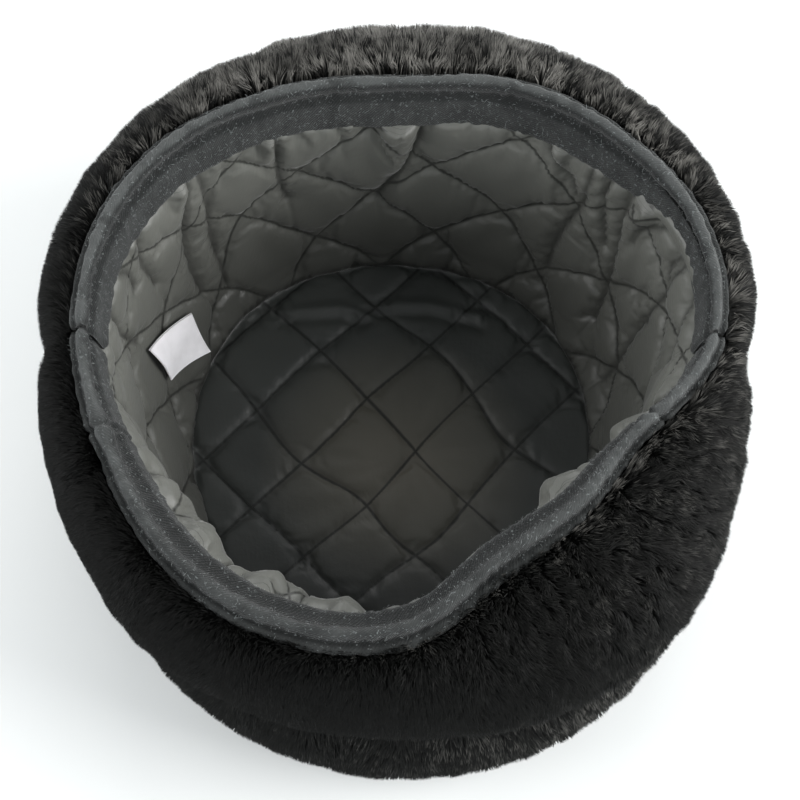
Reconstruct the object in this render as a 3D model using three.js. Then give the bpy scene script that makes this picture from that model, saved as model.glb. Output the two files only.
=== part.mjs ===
// A fur winter hat with turned-up flaps, lying on its crown with the opening up.
// Lengths are in millimetres, +Z is up, the floor is z = 0 and the wearer's front is towards -Y.
import * as THREE from "three";

// Main sizes
const RIM_HEIGHT = 118;
const RIM_RADIUS = 98;
const FLAP_REACH = 26;
const CROWN_RADIUS = 118;
const TIP_RADIUS = 75;
const FLOOR_RADIUS = 86;
const BULGE_HEIGHT = 36;
const CLEARANCE = 0.8;

// Fur pieces
const FLAP_THICKNESS = 12;
const FLAP_START = 2.6;
const SHOULDER_DEPTH = 38;
const CROWN_THICKNESS = 12;
const CROWN_TIP_THICKNESS = 12;
const LOCK_RELIEF = 2.6;
const NOTCH_DEPTH = 4;
const NOTCH_ANGLE = 9;

// Band round the opening
const BAND_DEPTH = 21;
const BAND_CLOTH = 1.8;
const BAND_LEAN = 8.6;
const RIDGE_WIDTH = 5.2;
const OUTER_LEG = 6.6;

// Quilted lining
const LINING_THICKNESS = 3;
const LINING_TUCK = 5;
const TUCK_CLOTH = 1;
const PADDING = 2.4;
const TIP_SEAT = CROWN_TIP_THICKNESS + CLEARANCE;
const LINING_FLOOR = TIP_SEAT + LINING_THICKNESS + PADDING;
const DIAMONDS_ROUND = 12;
const DIAMOND_HEIGHT = 39;
const QUILT_ANGLE = 5;
const QUILT_BASE = 15;
const GATHER_DEPTH = 1.1;
const FOLD_DEPTH = 5;
const TIP_QUILT = { rise: 40, fall: 36, offset: 8.5, aside: 3.5 };

// Care label
const LABEL_CLOTH = 1;
const LABEL_CURL_DEPTH = 4.5;

// Directions in which the two bands and the two flaps meet, in degrees from +X
const RIGHT_MEETING_ANGLE = 2;
const LEFT_MEETING_ANGLE = 177;
const MEETING_GAP = 0.6;

// Stations round the hat
const FUR_COLUMNS = 80;
const CLOTH_COLUMNS = 72;

// The plan outline, a row for each sixteenth of a turn from +X by way of +Y.
// rim, crown and tip are shares of their radii, reach is a share of FLAP_REACH, drop is the flap's
// height as a share of RIM_HEIGHT,
// and lift is how far the rim stands above or below RIM_HEIGHT.
const OUTLINE = [
  { rim: 1.01, reach: 0.615, crown: 0.924, tip: 0.92, drop: 0.58, lift: 0 },
  { rim: 1.082, reach: 0.692, crown: 0.992, tip: 0.96, drop: 0.61, lift: 0 },
  { rim: 1.071, reach: 1, crown: 1.042, tip: 1, drop: 0.62, lift: 0 },
  { rim: 1.041, reach: 1.134, crown: 1.042, tip: 1.01, drop: 0.62, lift: 0 },
  { rim: 0.98, reach: 1.268, crown: 1.017, tip: 1.013, drop: 0.61, lift: 0 },
  { rim: 1.02, reach: 1.117, crown: 1.025, tip: 1.04, drop: 0.62, lift: 0 },
  { rim: 1.071, reach: 0.963, crown: 1.034, tip: 1.067, drop: 0.62, lift: 0 },
  { rim: 1.077, reach: 0.768, crown: 1, tip: 1.04, drop: 0.61, lift: 0 },
  { rim: 1.031, reach: 0.672, crown: 0.949, tip: 1.007, drop: 0.58, lift: 0 },
  { rim: 0.99, reach: 0.769, crown: 0.949, tip: 0.983, drop: 0.52, lift: 0 },
  { rim: 1.005, reach: 0.769, crown: 0.979, tip: 1, drop: 0.46, lift: 0 },
  { rim: 1, reach: 0.75, crown: 1, tip: 1.04, drop: 0.43, lift: 0 },
  { rim: 0.954, reach: 0.866, crown: 1.013, tip: 1.067, drop: 0.42, lift: 0 },
  { rim: 0.801, reach: 1.558, crown: 1.017, tip: 1.01, drop: 0.43, lift: 0 },
  { rim: 0.786, reach: 1.672, crown: 1, tip: 0.96, drop: 0.46, lift: 0 },
  { rim: 0.816, reach: 1.366, crown: 0.945, tip: 0.93, drop: 0.52, lift: 0 },
];

// Folds and puffs of the lining where it runs in under the band: degrees from +X, half width in
// degrees, depth as a share of FOLD_DEPTH, and how far down the wall each runs as a share of it.
const FOLDS = [
  { at: 138.5, width: 8, depth: 0.7, reach: 0.4 },
  { at: 117.5, width: 8, depth: 0.7, reach: 0.6 },
  { at: 90, width: 12, depth: 1, reach: 0.7 },
  { at: 56, width: 8, depth: 0.6, reach: 0.35 },
  { at: 35, width: 10, depth: 0.8, reach: 0.9 },
  { at: 345, width: 10, depth: 0.8, reach: 0.9 },
  { at: 321, width: 22, depth: 1.2, reach: 0.9 },
  { at: 258, width: 12, depth: 1.1, reach: 0.6 },
  { at: 240, width: 11, depth: 1.1, reach: 0.6 },
  { at: 222, width: 13, depth: 1.1, reach: 0.6 },
];

const radians = (degrees) => (degrees * Math.PI) / 180;
const mix = (a, b, t) => a + (b - a) * t;
const clamp = (x) => Math.min(1, Math.max(0, x));
const ease = (x) => clamp(x) ** 2 * (3 - 2 * clamp(x));
const turnBetween = (a, b) => Math.abs(((((a - b) % 360) + 540) % 360) - 180);

// A smooth closed curve through one column of the outline table.
function outline(column, degrees) {
  const count = OUTLINE.length;
  const place = (((degrees / 360) % 1) + 1) % 1 * count;
  const first = Math.floor(place);
  const t = place - first;
  const row = (step) => OUTLINE[(first + step + count) % count][column];
  const [a, b, c, d] = [row(-1), row(0), row(1), row(2)];
  const bend = 2 * a - 5 * b + 4 * c - d + (3 * b - a - 3 * c + d) * t;
  return b + 0.5 * t * (c - a + bend * t);
}

const rimHeight = (degrees) => RIM_HEIGHT + outline("lift", degrees);
const rimRadius = (degrees) => RIM_RADIUS * outline("rim", degrees);
const tipRadius = (degrees) => TIP_RADIUS * outline("tip", degrees);
const edgeHeight = (degrees) => rimHeight(degrees) - RIM_HEIGHT * outline("drop", degrees);

// The flaps dip in where their ends meet, and the crown dips under them over a wider stretch.
function flapRadius(degrees, width = NOTCH_ANGLE) {
  const near = Math.min(turnBetween(degrees, RIGHT_MEETING_ANGLE), turnBetween(degrees, LEFT_MEETING_ANGLE));
  const reach = FLAP_REACH * outline("reach", degrees);
  return rimRadius(degrees) + reach - NOTCH_DEPTH * (1 - ease(near / width));
}

// Fur stands in staggered locks: each second station of each second row is raised.
function lock(column, row) {
  const size = 0.75 + 0.25 * Math.sin(1.7 * column + 2.9 * row);
  return ((column + row) % 2 ? 0.5 : -0.5) * LOCK_RELIEF * size;
}

// The flap leaves the rim level, rounds over the shoulder and hangs to its free edge.
// inset moves the curve in from the outer face of the fur.
function flapCurve(degrees, turn, inset, width = NOTCH_ANGLE) {
  const root = rimRadius(degrees) + RIDGE_WIDTH * 0.1 + CLEARANCE;
  const across = Math.max(2, flapRadius(degrees, width) - root - inset);
  const down = SHOULDER_DEPTH - FLAP_START - inset * 0.92;
  const angle = radians(turn);
  return [
    root + across * Math.sin(angle),
    rimHeight(degrees) - SHOULDER_DEPTH + down * Math.cos(angle),
  ];
}

function flapLoop(degrees, column) {
  const face = flapRadius(degrees);
  const shoulder = rimHeight(degrees) - SHOULDER_DEPTH;
  const edge = edgeHeight(degrees);
  const loop = [flapCurve(degrees, 0, 0)];
  [18, 36, 54, 72, 90].forEach((turn, row) => {
    loop.push(flapCurve(degrees, turn, -lock(column, row)));
  });
  loop.push([face + lock(column, 5), mix(shoulder, edge, 0.4)]);
  loop.push([face - 0.5 + lock(column, 6), mix(shoulder, edge, 0.75)]);
  loop.push([face - 2.5 + lock(column, 7), edge + 2]);
  loop.push([face - 7, edge]);
  const inner = [90, 60, 30, 0].map((turn) => flapCurve(degrees, turn, FLAP_THICKNESS));
  loop.push([inner[0][0] + 1.5, edge + 3.5], ...inner);
  return loop;
}

// Back of the band's inner leg at a depth below the rim, measured out from the ridge.
function bandBack(down) {
  const top = BAND_CLOTH * 1.22 - RIDGE_WIDTH * 1.2;
  return mix(top, BAND_CLOTH - BAND_LEAN, (down - OUTER_LEG) / (BAND_DEPTH - OUTER_LEG));
}

// The lining's upper edge is tucked up behind the band.
const tuckBack = (down) => bandBack(down) + CLEARANCE + TUCK_CLOTH;

// Outer radius of the crown where no flap covers it: upright sides that round in to the floor.
function crownRadius(degrees, height) {
  const widest = CROWN_RADIUS * outline("crown", degrees);
  if (height >= BULGE_HEIGHT) return widest - 0.01 * (height - BULGE_HEIGHT) ** 2;
  const down = (BULGE_HEIGHT - height) / BULGE_HEIGHT;
  return FLOOR_RADIUS + 2 + (widest - FLOOR_RADIUS - 2) * Math.sqrt(Math.max(0, 1 - down ** 2));
}

// Back of the lining from under the band down to the seam of the tip.
function liningBack(degrees, height) {
  const top = rimHeight(degrees) - BAND_DEPTH;
  const upper = rimRadius(degrees) + tuckBack(BAND_DEPTH);
  const t = (top - height) / (top - LINING_FLOOR);
  const bow = 3 * Math.sin(Math.PI * t);
  return mix(upper, tipRadius(degrees) + LINING_THICKNESS + 1, t) + bow;
}

// Heights shared by the back of the lining and the inside of the crown, as shares of the way down.
const LINING_BACK_ROWS = [1, 0.75, 0.5, 0.25, 0];
const liningRow = (degrees, share) =>
  mix(rimHeight(degrees) - BAND_DEPTH - 2, LINING_FLOOR, share);

function crownLoop(degrees, column) {
  const rim = rimHeight(degrees);
  const radius = rimRadius(degrees);
  const edge = edgeHeight(degrees);
  const under = (turn) => {
    const [r, z] = flapCurve(degrees, turn, FLAP_THICKNESS, 2 * NOTCH_ANGLE);
    return [r - CLEARANCE, z - CLEARANCE * Math.cos(radians(turn))];
  };
  const hidden = under(90)[0];
  const lip = FLAP_THICKNESS / 6;
  const seat = radius + tuckBack(BAND_DEPTH - LINING_TUCK) + CLEARANCE;
  const top = rim - OUTER_LEG - CLEARANCE * 1.5;
  const loop = [[seat, top], [under(0)[0], top]];
  for (const turn of [0, 30, 60, 90]) loop.push(under(turn));
  loop.push([hidden, edge + lip]);
  loop.push([hidden + lip, edge - lip]);
  const start = edge - lip * 3.5;
  [1, 0.8, 0.6, 0.4, 0.22, 0.08].forEach((share, row) => {
    const height = start * share;
    loop.push([crownRadius(degrees, height) + lock(column, row), height]);
  });
  loop.push([FLOOR_RADIUS + CLEARANCE, (column % 2) * LOCK_RELIEF]);
  loop.push([FLOOR_RADIUS + CLEARANCE, CROWN_TIP_THICKNESS]);
  for (const share of LINING_BACK_ROWS) {
    const height = liningRow(degrees, share);
    const outer = Math.min(crownRadius(degrees, height), hidden);
    const inner = Math.max(liningBack(degrees, height) + CLEARANCE, outer - CROWN_THICKNESS);
    loop.push([inner, height]);
  }
  loop.push([seat, rim - BAND_DEPTH + LINING_TUCK / 2]);
  return loop;
}

// The band is one cloth folded over the rim: a deep inner leg, a rolled ridge and a short outer leg.
function bandLoop(degrees) {
  const rim = rimHeight(degrees);
  const radius = rimRadius(degrees);
  return [
    [-BAND_LEAN, -BAND_DEPTH],
    [-RIDGE_WIDTH * 1.2, -OUTER_LEG],
    [-RIDGE_WIDTH * 1.08, -OUTER_LEG * 0.67],
    [-RIDGE_WIDTH, -OUTER_LEG * 0.24],
    [-RIDGE_WIDTH * 0.52, 0],
    [0, -OUTER_LEG * 0.27],
    [RIDGE_WIDTH * 0.1, -OUTER_LEG],
    [RIDGE_WIDTH * 0.1 - BAND_CLOTH, -OUTER_LEG],
    [-RIDGE_WIDTH * 0.5, -OUTER_LEG * 0.45],
    [bandBack(OUTER_LEG), -OUTER_LEG],
    [bandBack(BAND_DEPTH), -BAND_DEPTH],
  ].map(([out, up]) => [radius + out, rim + up]);
}

// How far the front of the lining stands in from its back.
function liningDepth(degrees, height) {
  const top = rimHeight(degrees) - BAND_DEPTH;
  const share = (top - height) / (top - LINING_FLOOR);
  const around = ((degrees - QUILT_ANGLE) / 360) * DIAMONDS_ROUND;
  const up = (height - QUILT_BASE) / DIAMOND_HEIGHT;
  const quilt = Math.abs(Math.sin(Math.PI * (around + up)) * Math.sin(Math.PI * (around - up)));
  let depth = LINING_THICKNESS + PADDING * Math.sqrt(quilt) * ease(share * 5);
  for (const fold of FOLDS) {
    const aside = turnBetween(degrees, fold.at) / fold.width;
    const along = clamp(1 - share / fold.reach);
    depth += FOLD_DEPTH * fold.depth * Math.cos(clamp(aside) * Math.PI * 1.5) * (1 - clamp(aside)) * along;
  }
  return Math.max(LINING_THICKNESS * 0.6, depth);
}

function liningLoop(degrees, column) {
  const top = rimHeight(degrees) - BAND_DEPTH;
  const gather = (column % 2 ? 0.5 : -0.5) * GATHER_DEPTH;
  const loop = [];
  const tuck = rimRadius(degrees) + tuckBack(BAND_DEPTH - LINING_TUCK);
  loop.push([tuck - TUCK_CLOTH, top + LINING_TUCK]);
  loop.push([liningBack(degrees, top) - TUCK_CLOTH, top - CLEARANCE]);
  [0, 0.07, 0.2, 0.34, 0.48, 0.62, 0.76, 0.9].forEach((share) => {
    const height = liningRow(degrees, share);
    const depth = liningDepth(degrees, height) + gather * (1 - share) ** 2;
    loop.push([liningBack(degrees, height) - depth, height]);
  });
  loop.push([tipRadius(degrees), LINING_FLOOR]);
  loop.push([tipRadius(degrees) + CLEARANCE / 2, TIP_SEAT]);
  loop.push([liningBack(degrees, LINING_FLOOR) - CLEARANCE, TIP_SEAT + CLEARANCE]);
  for (const share of LINING_BACK_ROWS.slice(1)) {
    const height = liningRow(degrees, share);
    loop.push([liningBack(degrees, height), height]);
  }
  loop.push([tuck, top + LINING_TUCK]);
  return loop;
}

const polar = (radius, degrees, height) => [
  radius * Math.cos(radians(degrees)),
  radius * Math.sin(radians(degrees)),
  height,
];

const spread = (from, to, steps) =>
  Array.from({ length: steps + 1 }, (_, i) => mix(from, to, i / steps));

const wholeTurn = (columns) => spread(0, 360, columns).slice(0, columns);

// A body from its points and faces, turned so that its faces look outward.
function body(name, points, faces, look) {
  const [p, q, r] = [new THREE.Vector3(), new THREE.Vector3(), new THREE.Vector3()];
  let volume = 0;
  for (const [a, b, c] of faces) {
    p.fromArray(points[a]);
    q.fromArray(points[b]);
    r.fromArray(points[c]);
    volume += p.dot(q.cross(r));
  }
  const order = volume < 0 ? [0, 2, 1] : [0, 1, 2];
  const geometry = new THREE.BufferGeometry();
  geometry.setAttribute("position", new THREE.Float32BufferAttribute(points.flat(), 3));
  geometry.setIndex(faces.flatMap((face) => order.map((k) => face[k])));
  geometry.computeVertexNormals();
  const mesh = new THREE.Mesh(geometry, new THREE.MeshStandardMaterial({ metalness: 0, ...look }));
  mesh.name = name;
  return mesh;
}

// Faces that join each loop to the next one.
function sides(loops, size, closed) {
  const faces = [];
  for (let i = 0; i < (closed ? loops : loops - 1); i++) {
    const next = ((i + 1) % loops) * size;
    for (let j = 0; j < size; j++) {
      const k = (j + 1) % size;
      faces.push([i * size + j, i * size + k, next + k]);
      faces.push([i * size + j, next + k, next + j]);
    }
  }
  return faces;
}

// The flat end of an arc, with its faces wound with the loop or against it.
function cap(loop, start, along) {
  const flat = loop.map(([r, z]) => new THREE.Vector2(r, z));
  const way = THREE.ShapeUtils.area(flat) * (along ? 1 : -1);
  return THREE.ShapeUtils.triangulateShape(flat, []).map((face) => {
    const area = THREE.ShapeUtils.area(face.map((k) => flat[k]));
    const turned = area * way > 0 ? face : [face[0], face[2], face[1]];
    return turned.map((k) => start + k);
  });
}

// A loop carried round the hat, as a whole ring or as an arc with flat ends.
function ring(name, angles, loopAt, closed, look) {
  const loops = angles.map((degrees, i) => loopAt(degrees, i));
  const size = loops[0].length;
  const points = loops.flatMap((loop, i) => loop.map(([r, z]) => polar(r, angles[i], z)));
  const faces = sides(loops.length, size, closed);
  if (!closed) {
    faces.push(...cap(loops[0], 0, false));
    faces.push(...cap(loops.at(-1), (loops.length - 1) * size, true));
  }
  return body(name, points, faces, look);
}

// A disc: each station has one line of points from beside the top centre to beside the bottom one.
function disc(name, angles, lineAt, topHeight, bottomHeight, look) {
  const lines = angles.map((degrees, i) => lineAt(degrees, i));
  const size = lines[0].length;
  const points = lines.flatMap((line, i) => line.map(([r, z]) => polar(r, angles[i], z)));
  const top = points.length;
  points.push([0, 0, topHeight], [0, 0, bottomHeight]);
  const faces = [];
  for (let i = 0; i < lines.length; i++) {
    const here = i * size;
    const next = ((i + 1) % lines.length) * size;
    faces.push([top, here, next]);
    for (let j = 0; j < size - 1; j++) {
      faces.push([here + j, here + j + 1, next + j + 1], [here + j, next + j + 1, next + j]);
    }
    faces.push([here + size - 1, top + 1, next + size - 1]);
  }
  return body(name, points, faces, look);
}

// The fur under the crown touches the floor with each second lock, and with a flat middle.
function crownTipLine(degrees, column) {
  const line = [[FLOOR_RADIUS, CROWN_TIP_THICKNESS]];
  [1, 0.78, 0.52].forEach((share, row) => {
    line.push([FLOOR_RADIUS * share, ((column + row) % 2) * LOCK_RELIEF]);
  });
  line.push([FLOOR_RADIUS * 0.26, 0]);
  return line;
}

// The quilted tip of the lining is a little dished, with its diamonds on a straight grid.
function tipHeight(x, y) {
  const a = (x + y - TIP_QUILT.offset) / TIP_QUILT.rise;
  const b = (x - y - TIP_QUILT.aside) / TIP_QUILT.fall;
  const quilt = Math.abs(Math.sin(Math.PI * a) * Math.sin(Math.PI * b));
  return TIP_SEAT + LINING_THICKNESS + PADDING * Math.sqrt(quilt);
}

function liningTipLine(degrees) {
  const edge = tipRadius(degrees) - CLEARANCE;
  const line = [0.2, 0.42, 0.64, 0.85].map((share) => {
    const [x, y] = polar(edge * share, degrees, 0);
    return [edge * share, tipHeight(x, y)];
  });
  line.push([edge, TIP_SEAT + LINING_THICKNESS * 0.8], [edge, TIP_SEAT]);
  return line;
}

// The label is sewn in at its upper edge and curls away from the lining. Its four corners: degrees
// from +X, share of the way up from the lining's floor to the rim, and curl as a share of LABEL_CURL_DEPTH.
const LABEL_CORNERS = {
  upperLeft: { at: 166, up: 0.43, curl: 0 },
  upperRight: { at: 150, up: 0.27, curl: 0 },
  lowerLeft: { at: 167, up: 0.23, curl: 0.65 },
  lowerRight: { at: 152.5, up: 0.09, curl: 1 },
};

function labelPoint(across, down, out) {
  const { upperLeft, upperRight, lowerLeft, lowerRight } = LABEL_CORNERS;
  const [degrees, share, curl] = ["at", "up", "curl"].map((key) =>
    mix(
      mix(upperLeft[key], upperRight[key], across),
      mix(lowerLeft[key], lowerRight[key], across),
      down,
    ),
  );
  const height = mix(LINING_FLOOR, RIM_HEIGHT, share);
  const wall = liningBack(degrees, height) - LINING_THICKNESS - PADDING;
  return polar(wall - curl * LABEL_CURL_DEPTH - out, degrees, height);
}

// A thin sheet from a grid of points on its two faces.
function sheet(name, across, down, pointAt, thickness, look) {
  const points = [];
  for (const out of [0, thickness]) {
    for (let i = 0; i <= across; i++) {
      for (let j = 0; j <= down; j++) points.push(pointAt(i / across, j / down, out));
    }
  }
  const at = (i, j, side) => side * (across + 1) * (down + 1) + i * (down + 1) + j;
  const faces = [];
  const quad = (a, b, c, d) => faces.push([a, b, c], [a, c, d]);
  for (let i = 0; i < across; i++) {
    for (let j = 0; j < down; j++) {
      quad(at(i, j, 0), at(i, j + 1, 0), at(i + 1, j + 1, 0), at(i + 1, j, 0));
      quad(at(i, j, 1), at(i + 1, j, 1), at(i + 1, j + 1, 1), at(i, j + 1, 1));
    }
    quad(at(i, 0, 0), at(i + 1, 0, 0), at(i + 1, 0, 1), at(i, 0, 1));
    quad(at(i, down, 0), at(i, down, 1), at(i + 1, down, 1), at(i + 1, down, 0));
  }
  for (let j = 0; j < down; j++) {
    quad(at(0, j, 0), at(0, j, 1), at(0, j + 1, 1), at(0, j + 1, 0));
    quad(at(across, j, 0), at(across, j + 1, 0), at(across, j + 1, 1), at(across, j, 1));
  }
  return body(name, points, faces, look);
}

const FUR_LOOK = { color: 0x1b1a18, roughness: 0.95 };
const CLOTH_LOOK = { color: 0x3a4044, roughness: 0.85 };
const LINING_LOOK = { color: 0x45463f, roughness: 0.5 };
const TIP_LOOK = { color: 0x2a2c2a, roughness: 0.55 };
const LABEL_LOOK = { color: 0xe8e6ec, roughness: 0.7 };

// Arcs run between the two meetings and stop half a gap short of each.
const halfGap = (MEETING_GAP / 2 / RIM_RADIUS) * (180 / Math.PI);
const backArc = (columns) =>
  spread(RIGHT_MEETING_ANGLE + halfGap, LEFT_MEETING_ANGLE - halfGap, columns / 2);
const frontArc = (columns) =>
  spread(LEFT_MEETING_ANGLE + halfGap, RIGHT_MEETING_ANGLE + 360 - halfGap, columns / 2);

const pieces = [
  ring("crown_side", wholeTurn(FUR_COLUMNS), crownLoop, true, FUR_LOOK),
  disc("crown_tip", wholeTurn(FUR_COLUMNS), crownTipLine, CROWN_TIP_THICKNESS, 0, FUR_LOOK),
  ring("front_flap", frontArc(FUR_COLUMNS), flapLoop, false, FUR_LOOK),
  ring("back_flap", backArc(FUR_COLUMNS), flapLoop, false, FUR_LOOK),
  ring("front_band", frontArc(CLOTH_COLUMNS), bandLoop, false, CLOTH_LOOK),
  ring("back_band", backArc(CLOTH_COLUMNS), bandLoop, false, CLOTH_LOOK),
  ring("lining_side", wholeTurn(CLOTH_COLUMNS), liningLoop, true, LINING_LOOK),
  disc(
    "lining_tip",
    wholeTurn(CLOTH_COLUMNS),
    liningTipLine,
    tipHeight(0, 0),
    TIP_SEAT,
    TIP_LOOK,
  ),
  sheet("care_label", 4, 4, labelPoint, LABEL_CLOTH, LABEL_LOOK),
];

// The group is moved so that its bounding box stands centred on the origin.
const hat = new THREE.Group();
hat.add(...pieces);
const box = new THREE.Box3().setFromObject(hat, true);
const middle = box.getCenter(new THREE.Vector3());
hat.position.set(-middle.x, -middle.y, -box.min.z);

export default hat;
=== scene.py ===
"""A fur ushanka that lies on its crown with its flaps turned up, modelled from its named sizes."""
import math

import bpy
import numpy as np
from bpy.props import FloatProperty, FloatVectorProperty, IntProperty, PointerProperty
from bpy.types import Operator, Panel, PropertyGroup
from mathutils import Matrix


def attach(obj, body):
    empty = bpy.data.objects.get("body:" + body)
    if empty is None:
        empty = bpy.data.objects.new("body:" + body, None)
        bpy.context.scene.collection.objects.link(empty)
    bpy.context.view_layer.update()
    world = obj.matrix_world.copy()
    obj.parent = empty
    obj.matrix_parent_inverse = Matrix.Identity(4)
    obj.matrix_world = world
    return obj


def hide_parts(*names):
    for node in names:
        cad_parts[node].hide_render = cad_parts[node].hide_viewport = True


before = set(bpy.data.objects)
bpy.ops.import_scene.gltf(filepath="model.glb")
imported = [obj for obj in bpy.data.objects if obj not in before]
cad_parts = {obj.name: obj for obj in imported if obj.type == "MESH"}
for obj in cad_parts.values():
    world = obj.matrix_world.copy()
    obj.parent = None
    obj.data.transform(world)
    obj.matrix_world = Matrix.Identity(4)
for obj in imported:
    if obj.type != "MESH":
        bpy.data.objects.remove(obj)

bl_info = {
    "name": "Ushanka",
    "version": (1, 0, 0),
    "blender": (4, 5, 0),
    "location": "View3D > Sidebar > Ushanka",
    "description": "Models a fur hat with turned up flaps and a quilted lining",
    "category": "Object",
}

# Sizes that the frame was made with, in millimetres and degrees from +X.
RIM_HEIGHT = 118.0
RIM_RADIUS = 98.0
FLAP_REACH = 26.0
CROWN_RADIUS = 118.0
TIP_RADIUS = 75.0
FLOOR_RADIUS = 86.0
BULGE_HEIGHT = 36.0
CLEARANCE = 0.8
FLAP_THICKNESS = 12.0
FLAP_START = 2.6
SHOULDER_DEPTH = 38.0
NOTCH_DEPTH = 4.0
NOTCH_ANGLE = 9.0
BAND_DEPTH = 21.0
BAND_LEAN = 8.6
BAND_CLOTH = 1.8
RIDGE_WIDTH = 5.2
OUTER_LEG = 6.6
LINING_THICKNESS = 3.0
TIP_SEAT = 12.8
LINING_FLOOR = 18.2
DIAMOND_ANGLE = 30.0
DIAMOND_HEIGHT = 39.0
QUILT_ANGLE = 5.0
QUILT_BASE = 15.0
FOLD_DEPTH = 5.0
RIGHT_MEETING = 2.0
LEFT_MEETING = 177.0
MEETING_GAP = 0.6
CENTRE = np.array([1.3926, -4.6989, 0.0])

# Half the gaps at the meetings, in degrees, between the halves of the band and between the fields of hair.
BAND_GAP = 0.4
HAIR_GAP = 0.2

# About how far apart two rows of stitches are, in mm, and how often a point is moved back onto its row.
ROW_GAP = 30.0
TRIES = 8

# The plan outline, a value for each sixteenth of a turn from +X by way of +Y.
OUTLINE = {
    "rim": [
        1.01, 1.082, 1.071, 1.041, 0.98, 1.02, 1.071, 1.077,
        1.031, 0.99, 1.005, 1.0, 0.954, 0.801, 0.786, 0.816,
    ],
    "reach": [
        0.615, 0.692, 1, 1.134, 1.268, 1.117, 0.963, 0.768,
        0.672, 0.769, 0.769, 0.75, 0.866, 1.558, 1.672, 1.366,
    ],
    "crown": [
        0.924, 0.992, 1.042, 1.042, 1.017, 1.025, 1.034, 1,
        0.949, 0.949, 0.979, 1, 1.013, 1.017, 1, 0.945,
    ],
    "tip": [
        0.92, 0.96, 1, 1.01, 1.013, 1.04, 1.067, 1.04,
        1.007, 0.983, 1, 1.04, 1.067, 1.01, 0.96, 0.93,
    ],
    "drop": [0.58, 0.61, 0.62, 0.62, 0.61, 0.62, 0.62, 0.61, 0.58, 0.52, 0.46, 0.43, 0.42, 0.43, 0.46, 0.52],
}

# How pale the tips of the fur are painted, as painted light that is strongest on the far side where the light
# grazes the fur, and how far it is ruffled into locks, in the same sixteenths.
NAP = {
    "pale": [
        0.43, 0.48, 0.68, 1.05, 1.3, 1.15, 0.6, 0.28,
        0.05, 0.02, 0.02, 0.05, 0.16, 0.24, 0.32, 0.38,
    ],
    "ruffled": [0.8, 0.85, 0.85, 0.9, 1.0, 0.9, 0.8, 0.5, 0.3, 0.2, 0.2, 0.25, 0.4, 0.7, 0.9, 0.9],
}

# Broad folds and puffs of the lining: angle, half width in degrees, depth and reach as shares.
BROAD_FOLDS = [
    (138.5, 8, 0.7, 0.4), (117.5, 8, 0.7, 0.6), (90, 12, 1, 0.7), (56, 8, 0.6, 0.35), (35, 10, 0.8, 0.9),
    (345, 10, 0.8, 0.9), (321, 22, 1.2, 0.9), (258, 12, 1.1, 0.6), (240, 11, 1.1, 0.6), (222, 13, 1.1, 0.6),
]

# Sharp tucks in the lining: angle and height at the top and at the bottom, half width and depth.
TUCKS = [
    (137.5, 97, 143.5, 42, 1.5, 3.4), (133, 76, 138, 36, 1.2, 1.6), (118, 97, 115.5, 60, 1.7, 3.8),
    (84.5, 97, 95, 52, 2.8, 4.6), (57.5, 97, 51, 78, 1.5, 3.6), (49, 80, 50, 38, 1.4, 2.0),
    (44, 97, 41, 66, 1.5, 3.2), (38.5, 93, 33.5, 36, 2.0, 4.6), (30.5, 97, 34, 80, 1.5, 2.4),
    (151, 97, 154, 68, 1.2, 1.8),
    (160, 97, 158, 80, 1.0, 1.3), (169, 97, 166, 66, 1.2, 1.6), (187, 97, 184, 78, 1.2, 1.4),
    (205, 97, 207, 78, 1.6, 2.0), (231, 97, 230, 76, 1.6, 2.4), (249, 97, 250, 76, 1.6, 2.4),
    (272, 97, 270, 80, 1.5, 2.0), (301, 97, 304, 62, 1.8, 2.8), (336, 97, 333, 58, 1.8, 3.0),
    (13.5, 97, 7, 77, 1.2, 1.6), (20, 62, 19.5, 28, 1.2, 1.8), (24, 97, 22, 84, 1.0, 1.2),
    (355, 97, 352, 74, 1.3, 1.8),
]

# How far the puffs of the near side sag in below the band, at angles round the hat, in mm.
SAG = [
    (0, 2.5), (14, 2), (30, 0), (186, 0), (196, 2), (205, 4), (212, 5.5), (219, 5), (223, 2.5), (230, 5),
    (238, 4.5), (246, 8), (253, 6), (259, 3), (270, 4), (280, 1.5), (292, 1), (304, 1.5), (320, 4),
    (336, 4), (350, 3),
]

# How far the lower part of the band leans in at the near side, in mm, and how wide its outer roll is.
LEAN = [
    (0, 0), (12, -2), (30, -2.5), (44, -0.5), (60, 0), (186, 0), (200, 2), (212, 4), (225, 5), (250, 5.5),
    (290, 5), (310, 4), (330, 2), (350, 0),
]
ROLL = [(200, 0), (245, 0.5), (265, 1), (300, 1), (320, 0)]

# Where the wall's quilting is pulled off its even pattern: angle, height, shift in degrees, shift in mm.
WALL_PULLS = [(127, 58, -2, -7), (82, 72, -2, 2), (53, 34, -3, 0), (300, 60, 3, 4), (20, 60, 2, -4)]

# The tip's quilting: the pitch of both kinds of row and their offsets, then its pulls as x, y and two shifts.
TIP_QUILT = (40.0, 36.0, 8.5, 3.5)
TIP_PULLS = [(11, 38, -2, -4), (-34, -4, 3, 2), (-16, -19, -3, 2), (32, -2, 4, 4), (20, -40, -3, 3)]

# Low folds across the tip, each from one point to another.
TIP_FOLDS = [
    ((-42, 56), (-22, 57.6)), ((-22, 57.6), (-13, 54.7)),
    ((-5.6, 58.8), (11, 58.8)), ((11, 58.8), (29.6, 53.5)),
]

# Corners of the care label: angle, share of the height above the lining's floor, curl in mm.
LABEL_CORNERS = [(166, 0.43, 0), (150, 0.27, 0), (167, 0.23, 2.9), (152.5, 0.09, 4.5)]

# The label's middle in degrees, its width and height flat and its thickness in mm.
LABEL_ANGLE = 159.0
LABEL_SIZE = (27.0, 23.0)
LABEL_THICKNESS = 0.35

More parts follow.
